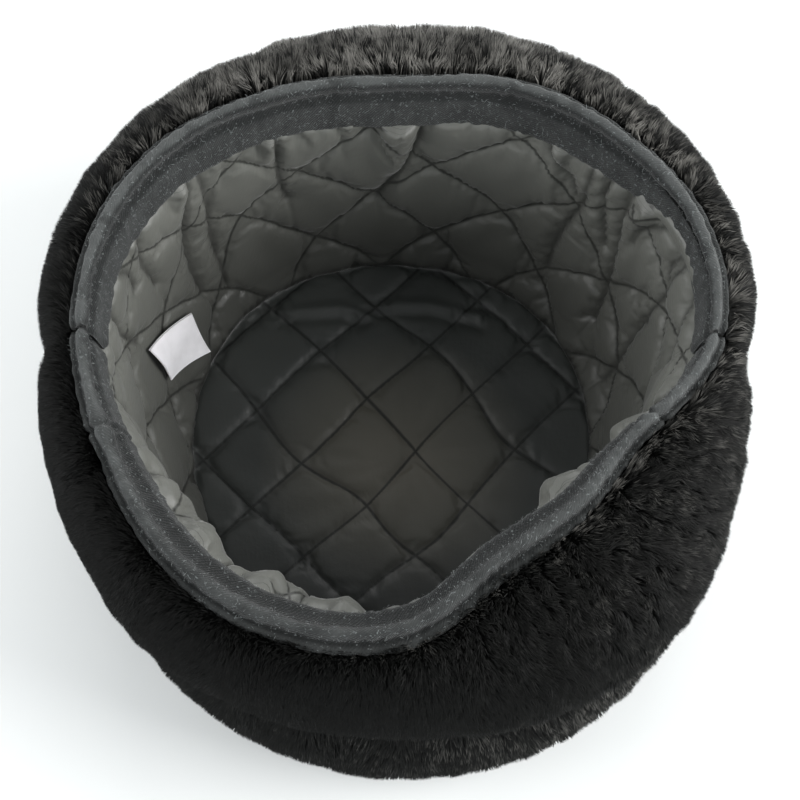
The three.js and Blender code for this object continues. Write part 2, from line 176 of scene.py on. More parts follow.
# The band's front face in section, out from the rim and up from it, from its sewn edge to the outer leg.
BAND_PATH = np.array([
    (-8.6, -21.0), (-8.1, -18.0), (-7.5, -14.5), (-6.9, -11.5), (-6.2, -9.6), (-5.2, -8.4), (-4.4, -7.4),
    (-4.4, -6.0), (-5.0, -4.6), (-5.2, -2.4), (-4.5, -1.0), (-3.5, -0.2), (-2.6, 0.0), (-1.7, -0.4),
    (-1.1, -1.5), (-0.9, -2.8), (-0.6, -3.8), (-0.1, -4.2), (0.5, -3.9), (1.1, -4.1), (1.4, -5.0),
    (1.3, -6.4),
])

# Middle radius and millimetres in a degree of turn, at the fur, the band and the lining.
FUR_MIDDLE = 105.0
BAND_DEGREE = 1.7
LINING_DEGREE = 1.6

# Middle of the paler patch that is painted on the tip's lining as a pool of light, in metres, and its colour
# there.
LIT_PATCH_MIDDLE = (0.0, -0.008, 0.018)
LIT_PATCH_COLOUR = (0.29, 0.268, 0.215)

# Points along the band, across its face and across its back, and the row that its length is measured on.
BAND_COLUMNS, BAND_ROWS, BAND_BACK_ROWS = 430, 44, 15
BAND_MEASURED_ROW = 12
LINT_FIBRES = 1500

# The flap's face draws in by the taper towards its free edge, which is rolled round. Both in mm.
FLAP_TAPER = 2.2
EDGE_ROLL = 2.4

# The fur: points along its roots, the size of small locks against large ones, how far from the band its
# hair stands up, in mm, and at which shares of its height, reach and pull a strand bends.
HAIR_COLUMNS = 140
SMALL_LOCK = 0.36
# Over the same distance the fur beside the band is painted lighter against the shade there.
BESIDE_BAND = 4.5
BEND_UP, BEND_OUT, BEND_PULL = 0.62, 0.34, 0.45

# How far the lining is held beside a row of stitches and a tuck, and how far it may puff up, all in mm.
HELD_BY_STITCH = 0.75
HELD_BY_TUCK = 0.9
WALL_LIMIT, LABEL_LIMIT, TIP_LIMIT = 2.3, 0.7, 1.3

# Where the rows of stitches start on the wall, how far they run on the tip, and how deep the thread is sunk.
QUILT_TOP = 94.0
TIP_ROW_REACH = 76.0
THREAD_SINK = 0.05

# How wide round a point of the label the lining is looked at, and the gap that is left to it, in mm.
LABEL_LOOK = 2.4
LABEL_GAP = 0.6

# Levels of the crown's body and tip, and how much of each padded body is filled.
CROWN_SEAT = 12.0
TIP_BACK = 12.2

# The camera's angle over the floor in degrees, what it looks at and its distance in metres, and its lens.
CAMERA_ANGLE = 68.0
CAMERA_TARGET = (0.00139, -0.0247, 0.118)
CAMERA_DISTANCE = 0.55
CAMERA_LENS = 81.7

# The soft lights: place in metres, size in metres and power in watts.
LAMPS = {
    "soft_box_back": ((0.1, 1.5, 0.95), 1.2, 12.0),
    "soft_box_left": ((-1.4, -0.1, 0.85), 1.0, 11.0),
    "soft_box_right": ((1.4, -0.2, 0.85), 1.0, 29.0),
}
LAMP_TARGET = (0.0, 0.0, 0.08)


def mix(a, b, t):
    return a + (b - a) * t


def ease(x):
    x = np.clip(x, 0, 1)
    return x * x * (3 - 2 * x)


def bell(x, width):
    """1 at 0, falling off smoothly to both sides."""
    return np.exp(-((x / width) ** 2))


def turn_at(x, y):
    return np.degrees(np.arctan2(y, x))


def signed_turn(a, b):
    return (a - b + 180) % 360 - 180


def turn_between(a, b):
    return np.abs(signed_turn(a, b))


def curve_between(a, b, c, d, t):
    """A smooth curve from b to c that takes its slopes from the points beside them."""
    bend = 2 * a - 5 * b + 4 * c - d + (3 * b - a - 3 * c + d) * t
    return b + 0.5 * t * (c - a + bend * t)


def outline(column, degrees, rows=OUTLINE):
    """A smooth closed curve through one row of a table."""
    table = np.asarray(rows[column])
    place = (np.asarray(degrees, float) / 360 % 1) * len(table)
    first = np.floor(place).astype(int)
    return curve_between(*(table[(first + step) % len(table)] for step in (-1, 0, 1, 2)), place - first)


def rim_radius(degrees):
    return RIM_RADIUS * outline("rim", degrees)


def tip_radius(degrees):
    return TIP_RADIUS * outline("tip", degrees)


def edge_height(degrees):
    return RIM_HEIGHT * (1 - outline("drop", degrees))


def flap_radius(degrees, width=NOTCH_ANGLE):
    near = np.minimum(turn_between(degrees, RIGHT_MEETING), turn_between(degrees, LEFT_MEETING))
    notch = NOTCH_DEPTH * (1 - ease(near / width))
    return rim_radius(degrees) + FLAP_REACH * outline("reach", degrees) - notch


def flap_curve(degrees, turn, inset, width=NOTCH_ANGLE):
    """Radius and height on the flap's shoulder, set in from the outer form of the fur."""
    root = rim_radius(degrees) + RIDGE_WIDTH * 0.1 + CLEARANCE
    across = np.maximum(2, flap_radius(degrees, width) - root - inset)
    down = SHOULDER_DEPTH - FLAP_START - inset * 0.92
    angle = np.radians(turn)
    return root + across * np.sin(angle), RIM_HEIGHT - SHOULDER_DEPTH + down * np.cos(angle)


def crown_radius(degrees, height):
    """Outer form of the crown's fur: upright sides that round in to the floor."""
    widest = CROWN_RADIUS * outline("crown", degrees)
    down = np.clip((BULGE_HEIGHT - height) / BULGE_HEIGHT, 0, 1)
    low = FLOOR_RADIUS + 2 + (widest - FLOOR_RADIUS - 2) * np.sqrt(1 - down**2)
    return np.where(height >= BULGE_HEIGHT, widest - 0.01 * (height - BULGE_HEIGHT) ** 2, low)


def round_table(table, degrees):
    return np.interp(np.asarray(degrees, float) % 360, *np.transpose(table))


def lining_back(degrees, height):
    top = RIM_HEIGHT - BAND_DEPTH
    upper = rim_radius(degrees) + BAND_CLOTH - BAND_LEAN + CLEARANCE + 1
    t = (top - height) / (top - LINING_FLOOR)
    return mix(upper, tip_radius(degrees) + LINING_THICKNESS + 1, t) + 3 * np.sin(np.pi * np.clip(t, 0, 1))


def polar(radius, degrees, height):
    radius, angle, height = np.broadcast_arrays(radius, np.radians(degrees), height)
    return np.stack([radius * np.cos(angle), radius * np.sin(angle), height], -1)


def carried(rows, degrees):
    """A section of radii and heights carried round the hat: a grid of points, column by column."""
    return np.stack([polar(radius, degrees, height) for radius, height in rows], 1)


def ripples(degrees, along, seed, low, high, pitch, count=9):
    """Smooth irregular waves round the hat, about one high at most."""
    rng = np.random.default_rng(seed)
    total = 0
    for _ in range(count):
        turns = rng.integers(low, high + 1)
        slope = rng.uniform(-1, 1) * 2 * np.pi / pitch
        total = total + np.sin(turns * np.radians(degrees) + slope * along + rng.uniform(0, 2 * np.pi))
    return total / math.sqrt(count)


def unit(vectors):
    return vectors / np.maximum(np.linalg.norm(vectors, axis=-1, keepdims=True), 1e-9)


def grid_quads(columns, rows, wrap_columns=False, wrap_rows=False):
    """Quads between the points of a grid that is stored column by column."""
    i = np.arange(columns if wrap_columns else columns - 1)
    j = np.arange(rows if wrap_rows else rows - 1)
    i, j = (x.ravel() for x in np.meshgrid(i, j, indexing="ij"))
    across, down = (i + 1) % columns, (j + 1) % rows
    return np.stack([i * rows + j, across * rows + j, across * rows + down, i * rows + down], -1)


def end_caps(columns, rows):
    """The two flat ends of a loop that is carried along."""
    return [list(range(rows))[::-1], [(columns - 1) * rows + j for j in range(rows)]]


def grid_edge(columns, rows):
    """The points round the outside of a grid, in order."""
    last = (columns - 1) * rows
    return np.array([
        *range(rows), *[i * rows + rows - 1 for i in range(1, columns)],
        *[last + j for j in range(rows - 2, -1, -1)], *[i * rows for i in range(columns - 2, 0, -1)],
    ])


def first_normal(points, quads):
    a, b, c = (points[quads[0, k]] for k in range(3))
    return np.cross(b - a, c - a)


def coordinates(mesh):
    """The points of a mesh in its own units."""
    points = np.empty(len(mesh.vertices) * 3, np.float32)
    mesh.vertices.foreach_get("co", points)
    return points.reshape(-1, 3)


def add_object(name, data):
    made = bpy.data.objects.new(name, data)
    bpy.context.scene.collection.objects.link(made)
    return made


def run_along(path):
    """How far along a path each of its points is."""
    return np.concatenate([[0], np.cumsum(np.linalg.norm(np.diff(path, axis=0), axis=1))])


def make_mesh(name, points, quads, others=(), uv=None, tone=None, normals=None, closed=True, wrap=0):
    """A mesh object from points in millimetres round the hat's centre, with its faces outward."""
    points = np.asarray(points, float).reshape(-1, 3)
    if closed:
        a, b, c, d = (points[quads[:, k]] for k in range(4))
        volume = np.sum(a * np.cross(b, c)) + np.sum(a * np.cross(c, d))
        for other in others:
            for k in range(1, len(other) - 1):
                volume += np.dot(points[other[0]], np.cross(points[other[k]], points[other[k + 1]]))
        if volume < 0:
            quads = quads[:, ::-1]
            others = [other[::-1] for other in others]
    corners = np.concatenate([np.ravel(quads), *[np.asarray(other) for other in others]]).astype(np.int32)
    sizes = np.array([4] * len(quads) + [len(other) for other in others])
    starts = np.concatenate([[0], np.cumsum(sizes)[:-1]]).astype(np.int32)
    mesh = bpy.data.meshes.new(name)
    mesh.vertices.add(len(points))
    mesh.vertices.foreach_set("co", ((points + CENTRE) / 1000).astype(np.float32).ravel())
    mesh.loops.add(len(corners))
    mesh.loops.foreach_set("vertex_index", corners)
    mesh.polygons.add(len(sizes))
    mesh.polygons.foreach_set("loop_start", starts)
    mesh.polygons.foreach_set("use_smooth", np.ones(len(sizes), bool))
    mesh.update(calc_edges=True)
    if uv is not None:
        at = np.asarray(uv, np.float32).reshape(-1, 2)[corners]
        if wrap:
            first = np.repeat(starts, sizes)
            at += wrap * np.round((at[first, :1] - at[:, :1]) / wrap)
        mesh.uv_layers.new(name="cloth").data.foreach_set("uv", at.ravel())
    if tone is not None:
        layer = mesh.attributes.new("tone", "FLOAT", "POINT")
        layer.data.foreach_set("value", np.asarray(tone, np.float32).ravel())
    if normals is not None:
        mesh.normals_split_custom_set_from_vertices(unit(normals.reshape(-1, 3)))
    return add_object(name, mesh)


def dress(piece, material, nodes=()):
    """Gives a piece its material and its place in the frame."""
    piece.data.materials.clear()
    piece.data.materials.append(material)
    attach(piece, "root")
    if nodes:
        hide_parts(*nodes)


class Nodes:
    """Adds nodes to a material and joins them."""

    def __init__(self, name, owners=None):
        self.material = (bpy.data.materials if owners is None else owners).new(name)
        self.material.use_nodes = True
        self.tree = self.material.node_tree
        self.shader = self.tree.nodes.get("Principled BSDF")

    def add(self, kind, inputs=(), **settings):
        made = self.tree.nodes.new(kind)
        for key, value in settings.items():
            setattr(made, key, value)
        for key, value in dict(inputs).items():
            if isinstance(value, bpy.types.NodeSocket):
                self.tree.links.new(value, made.inputs[key])
            else:
                made.inputs[key].default_value = value
        return made

    def math(self, operation, a, b=0.0):
        return self.add("ShaderNodeMath", {0: a, 1: b}, operation=operation).outputs[0]

    def plus(self, a, b):
        return self.math("ADD", a, b)

    def times(self, a, b):
        return self.math("MULTIPLY", a, b)

    def place(self):
        return self.add("ShaderNodeTexCoord").outputs["Object"]

    def parts(self, vector=None):
        """The numbers of a vector, or of the place on the cloth."""
        if vector is None:
            vector = self.add("ShaderNodeUVMap", uv_map="cloth").outputs["UV"]
        return self.add("ShaderNodeSeparateXYZ", {0: vector}).outputs

    def tone(self):
        return self.add("ShaderNodeAttribute", attribute_name="tone").outputs["Fac"]

    def noise(self, where, scale, detail=3.0, roughness=0.5):
        inputs = {"Vector": where, "Scale": scale, "Detail": detail, "Roughness": roughness}
        return self.add("ShaderNodeTexNoise", inputs).outputs["Fac"]

    def waves(self, where, scale, distortion, **more):
        inputs = {"Vector": where, "Scale": scale, "Distortion": distortion, **more}
        return self.add("ShaderNodeTexWave", inputs).outputs["Fac"]

    def blend(self, share, a, b):
        made = self.add("ShaderNodeMix", data_type="RGBA")
        for socket, value in (("Factor", share), ("A", a), ("B", b)):
            ends = [s for s in made.inputs if s.name == socket and s.enabled]
            if isinstance(value, bpy.types.NodeSocket):
                self.tree.links.new(value, ends[0])
            else:
                ends[0].default_value = value if socket == "Factor" else (*value[:3], 1.0)
        return next(s for s in made.outputs if s.enabled)

    def span(self, value, low, high, to_low=0.0, to_high=1.0):
        inputs = {"Value": value, "From Min": low, "From Max": high, "To Min": to_low, "To Max": to_high}
        return self.add("ShaderNodeMapRange", inputs).outputs["Result"]

    def finish(self, colour, roughness, height=None, depth=0.0002, strength=1.0, **sockets):
        self.tree.links.new(colour, self.shader.inputs["Base Color"])
        if isinstance(roughness, bpy.types.NodeSocket):
            self.tree.links.new(roughness, self.shader.inputs["Roughness"])
        else:
            self.shader.inputs["Roughness"].default_value = roughness
        if height is not None:
            bump = self.add("ShaderNodeBump", {"Height": height, "Distance": depth, "Strength": strength})
            self.tree.links.new(bump.outputs["Normal"], self.shader.inputs["Normal"])
        for key, value in sockets.items():
            self.shader.inputs[key.replace("_", " ")].default_value = value
        return self.material


def fur_material(look):
    """Plush hair: dark at the root as painted shade deep in the pile, a little browner and paler at the tip
    in uneven patches, and paler still by its tone as painted highlight on the far side and painted light
    beside the band.
    """
    nodes = Nodes("fur_hair")
    tone = nodes.tone()
    where = nodes.place()
    patches = nodes.span(nodes.noise(where, 55.0, 4.0, 0.6), 0.32, 0.66, 0.45, 1.35)
    short = nodes.blend(nodes.span(tone, 0.0, 0.35), look.fur_root, look.fur_tip)
    # Random patches and painted highlight: the tips turn towards the pale colour by the tone, which is
    # strongest on the far side.
    colour = nodes.blend(nodes.times(nodes.span(tone, 0.3, 1.0), patches), short, look.fur_pale_tip_and_highlight)
    return nodes.finish(colour, 0.55, Specular_IOR_Level=0.1)


def backing_material(look):
    """The knitted backing that the hair stands in, nearly hidden."""
    nodes = Nodes("fur_backing")
    where = nodes.place()
    knit = nodes.noise(where, 900.0, 2.0)
    colour = nodes.blend(nodes.span(knit, 0.3, 0.7), look.fur_root, look.fur_tip)
    return nodes.finish(colour, 0.9, knit, 0.0004, 0.8, Specular_IOR_Level=0.15)


def twill_material(look):
    """Wool twill: slanted ribs of yarn, a fuzzy surface and pale flecks, with a painted highlight on its
    ridge and painted shade in its grooves and towards the near side.
    """
    nodes = Nodes("band_twill")
    along, across = nodes.parts()[:2]
    where = nodes.place()
    waver = nodes.times(nodes.noise(where, 260.0, 2.0), 1.3)
    slant = nodes.plus(nodes.plus(along, across), waver)
    rib = nodes.math("SINE", nodes.times(slant, 2 * math.pi / look.twill_pitch / 1000))
    yarn = nodes.noise(where, 1500.0, 3.0, 0.7)
    wide = nodes.noise(where, 120.0, 3.0)
    fleck = nodes.span(nodes.noise(where, 1100.0, 1.0), 0.66, 0.74)
    ribs = nodes.span(rib, -1.0, 1.0)
    # Painted highlight: the ridge's crest is paler, in uneven patches.
    ridge_highlight = nodes.times(nodes.span(across, 20.0, 22.5), nodes.span(across, 24.5, 26.5, 1.0, 0.0))
    ridge_highlight = nodes.times(ridge_highlight, nodes.span(wide, 0.3, 0.6, 0.3, 1.0))
    share = nodes.plus(nodes.times(ribs, 0.12), nodes.times(yarn, 0.55))
    share = nodes.plus(share, nodes.times(nodes.math("SUBTRACT", wide, 0.5), 0.7))
    share = nodes.plus(share, ridge_highlight)
    # Painted shade: the band is darker towards the near side.
    share = nodes.times(share, nodes.span(nodes.parts(where)[1], -0.09, 0.03, 0.4, 1.0))
    roll = nodes.times(nodes.span(across, 28.6, 29.4), nodes.span(across, 30.8, 31.6, 0.3, 0.0))
    share = nodes.plus(share, roll)
    # Painted shade: the groove on the inner side of the ridge and the groove between the ridge and the outer
    # roll are darker.
    for low, high, depth in ((11.0, 21.5, 0.6), (26.0, 29.2, 0.55)):
        inner, outer = nodes.span(across, low, low + 1.2), nodes.span(across, high - 1.2, high, depth, 0.0)
        groove = nodes.times(inner, outer)
        share = nodes.times(share, nodes.math("SUBTRACT", 1.0, groove))
    base = nodes.blend(share, look.band_dark, look.band_light)
    colour = nodes.blend(nodes.times(fleck, 0.5), base, look.lint)
    height = nodes.plus(nodes.times(ribs, 0.25), yarn)
    sheen = {"Specular_IOR_Level": 0.12, "Sheen_Weight": 0.12, "Sheen_Roughness": 0.5}
    return nodes.finish(colour, 0.92, height, 0.0005, 0.8, **sheen)


def satin_material(name, dark, light, pitch, lit_patch=0.0, far=0.74, near=0.0):
    """Thin woven lining with a dull shine, fine threads, painted shade along its rows of stitches and tucks,
    and soft uneven colour.

    Its middle can get a paler patch as a painted pool of light. It is darker low on the far side, and on the
    near side if that is asked for, as painted shade.
    """
    nodes = Nodes(name)
    where = nodes.place()
    _, ahead, up = nodes.parts(where)
    patches = nodes.noise(where, 30.0, 4.0)
    weave = nodes.waves(where, 700.0, 2.0, Detail=1.0)
    crumple = nodes.noise(where, 150.0, 4.0, 0.6)
    share = nodes.plus(nodes.times(patches, 0.7), nodes.times(weave, 0.12))
    # Painted pool of light: a paler patch round the tip's middle, by the given share.
    middle = nodes.add("ShaderNodeVectorMath", {0: where, 1: LIT_PATCH_MIDDLE}, operation="DISTANCE")
    lit_patch_share = nodes.span(middle.outputs["Value"], 0.01, 0.05, lit_patch, 0.0)
    even = nodes.blend(lit_patch_share, nodes.blend(share, dark, light), LIT_PATCH_COLOUR)
    # Painted shade: thin dark lines along the rows of stitches, joined with the shade of the tucks and of the
    # wall's foot from the tone attribute.
    stitch_line_shade = [nodes.math("PINGPONG", way, 0.5) for way in nodes.parts()[:2]]
    stitch_line_shade = [nodes.span(beside, 0.25 / pitch, 0.8 / pitch, 0.8, 0.0) for beside in stitch_line_shade]
    crease_shade = nodes.math("MAXIMUM", nodes.math("MAXIMUM", *stitch_line_shade), nodes.tone())
    # Painted shade: darker low down, by a share that changes from the middle to the far side, and darker on
    # the near side by the given share.
    deep = nodes.times(nodes.span(ahead, 0.0, 0.06, 0.5, far), nodes.span(up, 0.024, 0.082, 1.0, 0.0))
    near_side_shade = nodes.span(ahead, -0.07, 0.0, near, 0.0)
    even = nodes.blend(nodes.math("MAXIMUM", deep, near_side_shade), even, [c * 0.45 for c in dark])
    colour = nodes.blend(crease_shade, even, [c * 0.2 for c in dark])
    height = nodes.plus(crumple, nodes.times(weave, 0.06))
    rough = nodes.span(patches, 0.3, 0.7, 0.4, 0.52)
    sheen = {"Specular_IOR_Level": 0.45, "Sheen_Weight": 0.25, "Sheen_Roughness": 0.35}
    return nodes.finish(colour, rough, height, 0.0006, 0.35, **sheen)


def label_material(look):
    """Bare white label tape with fine ribs across it."""
    nodes = Nodes("label_tape")
    where = nodes.place()
    rib = nodes.math("SINE", nodes.times(nodes.parts()[1], 2 * math.pi / 0.45))
    soil = nodes.noise(where, 160.0, 3.0)
    colour = nodes.blend(nodes.span(soil, 0.35, 0.7), look.label, [c * 0.88 for c in look.label])
    height = nodes.plus(nodes.times(rib, 0.5), nodes.noise(where, 1800.0, 1.0))
    return nodes.finish(colour, 0.5, height, 0.00008, 0.6, Specular_IOR_Level=0.4, Sheen_Weight=0.1)


def thread_material(name, colour):
    """Twisted sewing thread, paler on its ridges."""
    nodes = Nodes(name)
    twist = nodes.waves(nodes.place(), 900.0, 1.0)
    shade = nodes.blend(nodes.times(twist, 0.6), colour, [c * 2.2 for c in colour])
    return nodes.finish(shade, 0.7, twist, 0.00008, 0.6, Specular_IOR_Level=0.3)


def length_prop(name, text, usual, low, high):
    return FloatProperty(name=name, description=text, default=usual, min=low, max=high, unit="LENGTH")


def angle_prop(name, text, usual, high):
    usual = math.radians(usual)
    return FloatProperty(name=name, description=text, default=usual, min=0, max=high, subtype="ANGLE")


def count_prop(name, text, usual):
    return IntProperty(name=name, description=text, default=usual, min=1000, max=99000)


def colour_prop(name, text, *usual):
    return FloatVectorProperty(name=name, description=text, default=usual, subtype="COLOR", min=0, max=1)


class FurShape(PropertyGroup):
    pile: length_prop("Pile", "Depth of the fur from its backing to its outer form", 0.0065, 0.003, 0.012)
    hair_width: length_prop("Hair width", "Width of a strand of the flaps", 0.0004, 0.0002, 0.001)
    lock_size: length_prop("Lock size", "Distance between the middles of two locks", 0.0042, 0.002, 0.015)
    lean: angle_prop("Lean", "How far the hair lies over from upright", 23, 1.3)
    swirl: angle_prop("Swirl", "How far the hair wanders from its combed direction", 34, 1.5)
    clumping: FloatProperty(
        name="Clumping", description="How strongly the tips of a lock draw together",
        default=0.25, min=0, max=1, subtype="FACTOR",
    )
    flap_strands: count_prop("Flap strands", "Strands on each half of a flap", 58000)
    crown_strands: count_prop("Crown strands", "Strands on each half of the crown's side", 42000)
    tip_strands: count_prop("Crown tip strands", "Strands under the crown", 22000)


class ClothShape(PropertyGroup):
    puff: length_prop("Puff", "Height of the padding between two rows of stitches", 0.0026, 0, 0.005)
    stitch: length_prop("Stitch", "Length of a stitch of the quilting", 0.0027, 0.001, 0.006)
    thread: length_prop("Thread", "Thickness of the sewing thread", 0.00026, 0.0001, 0.001)
    band_cloth: length_prop("Band cloth", "Thickness of the cloth of the band", 0.0014, 0.0005, 0.002)


class HatColours(PropertyGroup):
    # The root colour is darker than the tip as painted shade deep in the pile.
    fur_root: colour_prop("Fur root", "Colour of the hair at its root", 0.0016, 0.0017, 0.0015)
    fur_tip: colour_prop("Fur tip", "Colour of the hair at its tip", 0.006, 0.0064, 0.0058)
    # Paler, browner colour of the tips: in random patches, but mostly painted highlight, as the tone mixes it
    # in most on the far side where light grazes the fur.
    fur_pale_tip_and_highlight: colour_prop("Fur warm", "Browner colour of the tips in patches", 0.210, 0.204, 0.188)
    band_dark: colour_prop("Band dark", "Colour between the ribs of the band", 0.0105, 0.0115, 0.0115)
    band_light: colour_prop("Band light", "Colour on the ribs of the band", 0.068, 0.072, 0.071)
    lint: colour_prop("Lint", "Colour of pale flecks and lint", 0.20, 0.22, 0.22)
    lining_dark: colour_prop("Lining dark", "Darker colour of the lining", 0.078, 0.080, 0.072)
    lining_light: colour_prop("Lining light", "Paler colour of the lining", 0.155, 0.158, 0.142)
    thread: colour_prop("Thread", "Colour of the quilting thread", 0.030, 0.031, 0.027)
    # The tip's lining is the wall's cloth painted darker, as the shade that falls deep inside the hat.
    tip_shaded_dark: colour_prop("Tip lining dark", "Darker colour of the tip's lining", 0.038, 0.042, 0.039)
    tip_shaded_light: colour_prop("Tip lining light", "Paler colour of the tip's lining", 0.088, 0.095, 0.089)
    label: colour_prop("Label", "Colour of the care label", 0.90, 0.89, 0.92)
    twill_pitch: length_prop(
        "Twill pitch", "Distance between two ribs of the band's twill",
        0.0011, 0.0004, 0.003,
    )


def padded_body(node, loops, closed, material):
    """A fur body without its hair: a loop carried round the hat, closed or with flat ends."""
    columns, rows = loops.shape[:2]
    quads = grid_quads(columns, rows, wrap_columns=closed, wrap_rows=True)
    body = make_mesh(node + "_cloth", loops, quads, () if closed else end_caps(columns, rows))
    dress(body, material, [node])


def flap_skin(degrees, pile):
    """Where the hair of a flap is rooted, from the rim over the shoulder to the free edge."""
    edge = edge_height(degrees)
    shoulder = RIM_HEIGHT - SHOULDER_DEPTH
    face = flap_radius(degrees)
    rows = [flap_curve(degrees, turn, pile) for turn in np.linspace(0, 90, 26)]
    low = edge + pile * 0.8
    for t in np.linspace(0.08, 1, 14):
        rows.append((face - pile - FLAP_TAPER * t**2, mix(shoulder, low, t)))
    for angle in np.radians([30, 60, 90, 125, 160]):
        inset = EDGE_ROLL * (1 - np.cos(angle))
        rows.append((face - pile - FLAP_TAPER - inset, low - EDGE_ROLL * np.sin(angle)))
    return carried(rows, degrees)


def flap_body(degrees, pile):
    """The flap's whole section: its skin, and its inner face back over the shoulder to the rim."""
    rows = [(flap_curve(degrees, 90, FLAP_THICKNESS)[0] + 0.6, edge_height(degrees) + pile * 0.8 + 1.5)]
    rows += [flap_curve(degrees, turn, FLAP_THICKNESS - 0.2) for turn in np.linspace(90, 4, 12)]
    return np.concatenate([flap_skin(degrees, pile), carried(rows, degrees)], 1)


def crown_skin(degrees, pile):
    """Where the hair of the crown's side is rooted, from under the flap to the floor."""
    top = edge_height(degrees) + 6
    rows = []
    for t in np.linspace(0, 1, 26):
        height = mix(top, pile * 0.9, t)
        raised = ease((height - 4) / 30)
        rows.append((crown_radius(degrees, height) - pile * mix(0.75, 1, raised), height))
    return carried(rows, degrees)


def crown_body(degrees, pile):
    """The crown's whole section: its skin, and its inner face up from the floor and under the flap."""

    def under(turn):
        r, z = flap_curve(degrees, turn, FLAP_THICKNESS, 2 * NOTCH_ANGLE)
        return r - CLEARANCE, z - CLEARANCE * math.cos(math.radians(turn))

    hidden = under(90)[0]
    top = RIM_HEIGHT - OUTER_LEG - CLEARANCE * 1.5
    seat = rim_radius(degrees) - 3.5
    rows = [(FLOOR_RADIUS - pile * 0.4, CROWN_SEAT)]
    for share in (1, 0.75, 0.5, 0.25, 0):
        height = mix(RIM_HEIGHT - BAND_DEPTH - 2, LINING_FLOOR, share)
        outer_limit = np.minimum(crown_radius(degrees, height), hidden)
        rows.append((np.maximum(lining_back(degrees, height) + CLEARANCE, outer_limit - 12), height))
    rows += [(seat, RIM_HEIGHT - BAND_DEPTH + 2.5), (seat, top), (under(0)[0], top)]
    rows += [under(turn) for turn in (0, 15, 30, 45, 60, 75, 90)]
    rows.append((hidden, mix(edge_height(degrees), RIM_HEIGHT - SHOULDER_DEPTH, 0.4)))
    return np.concatenate([crown_skin(degrees, pile), carried(rows, degrees)], 1)


def lock_centres(across, along, size, seed):
    """The middle of the lock that each root belongs to, and numbers from 0 to 1 that its strands share."""
    span = 128
    table = np.random.default_rng(seed).random((span, span, 6))
    i, j = np.floor(across / size).astype(int), np.floor(along / size).astype(int)
    best = np.full(across.shape, np.inf)
    found = np.zeros((*across.shape, 2))
    shared = np.zeros((*across.shape, 4))
    for di in (-1, 0, 1):
        for dj in (-1, 0, 1):
            cell = table[(i + di) % span, (j + dj) % span]
            middle = np.stack([(i + di + cell[..., 0]) * size, (j + dj + cell[..., 1]) * size], -1)
            far = np.hypot(middle[..., 0] - across, middle[..., 1] - along)
            nearer = far < best
            best = np.where(nearer, far, best)
            found[nearer] = middle[nearer]
            shared[nearer] = cell[nearer][:, 2:]
    return found, shared


def blades(root, bend, tip, half):
    """Strands of one bent face each: from the root, widest at the bend, to the tip."""
    quads = np.arange(len(root))[:, None] * 4 + np.array([0, 1, 2, 3])
    return np.stack([root, bend - half, tip, bend + half], 1), quads


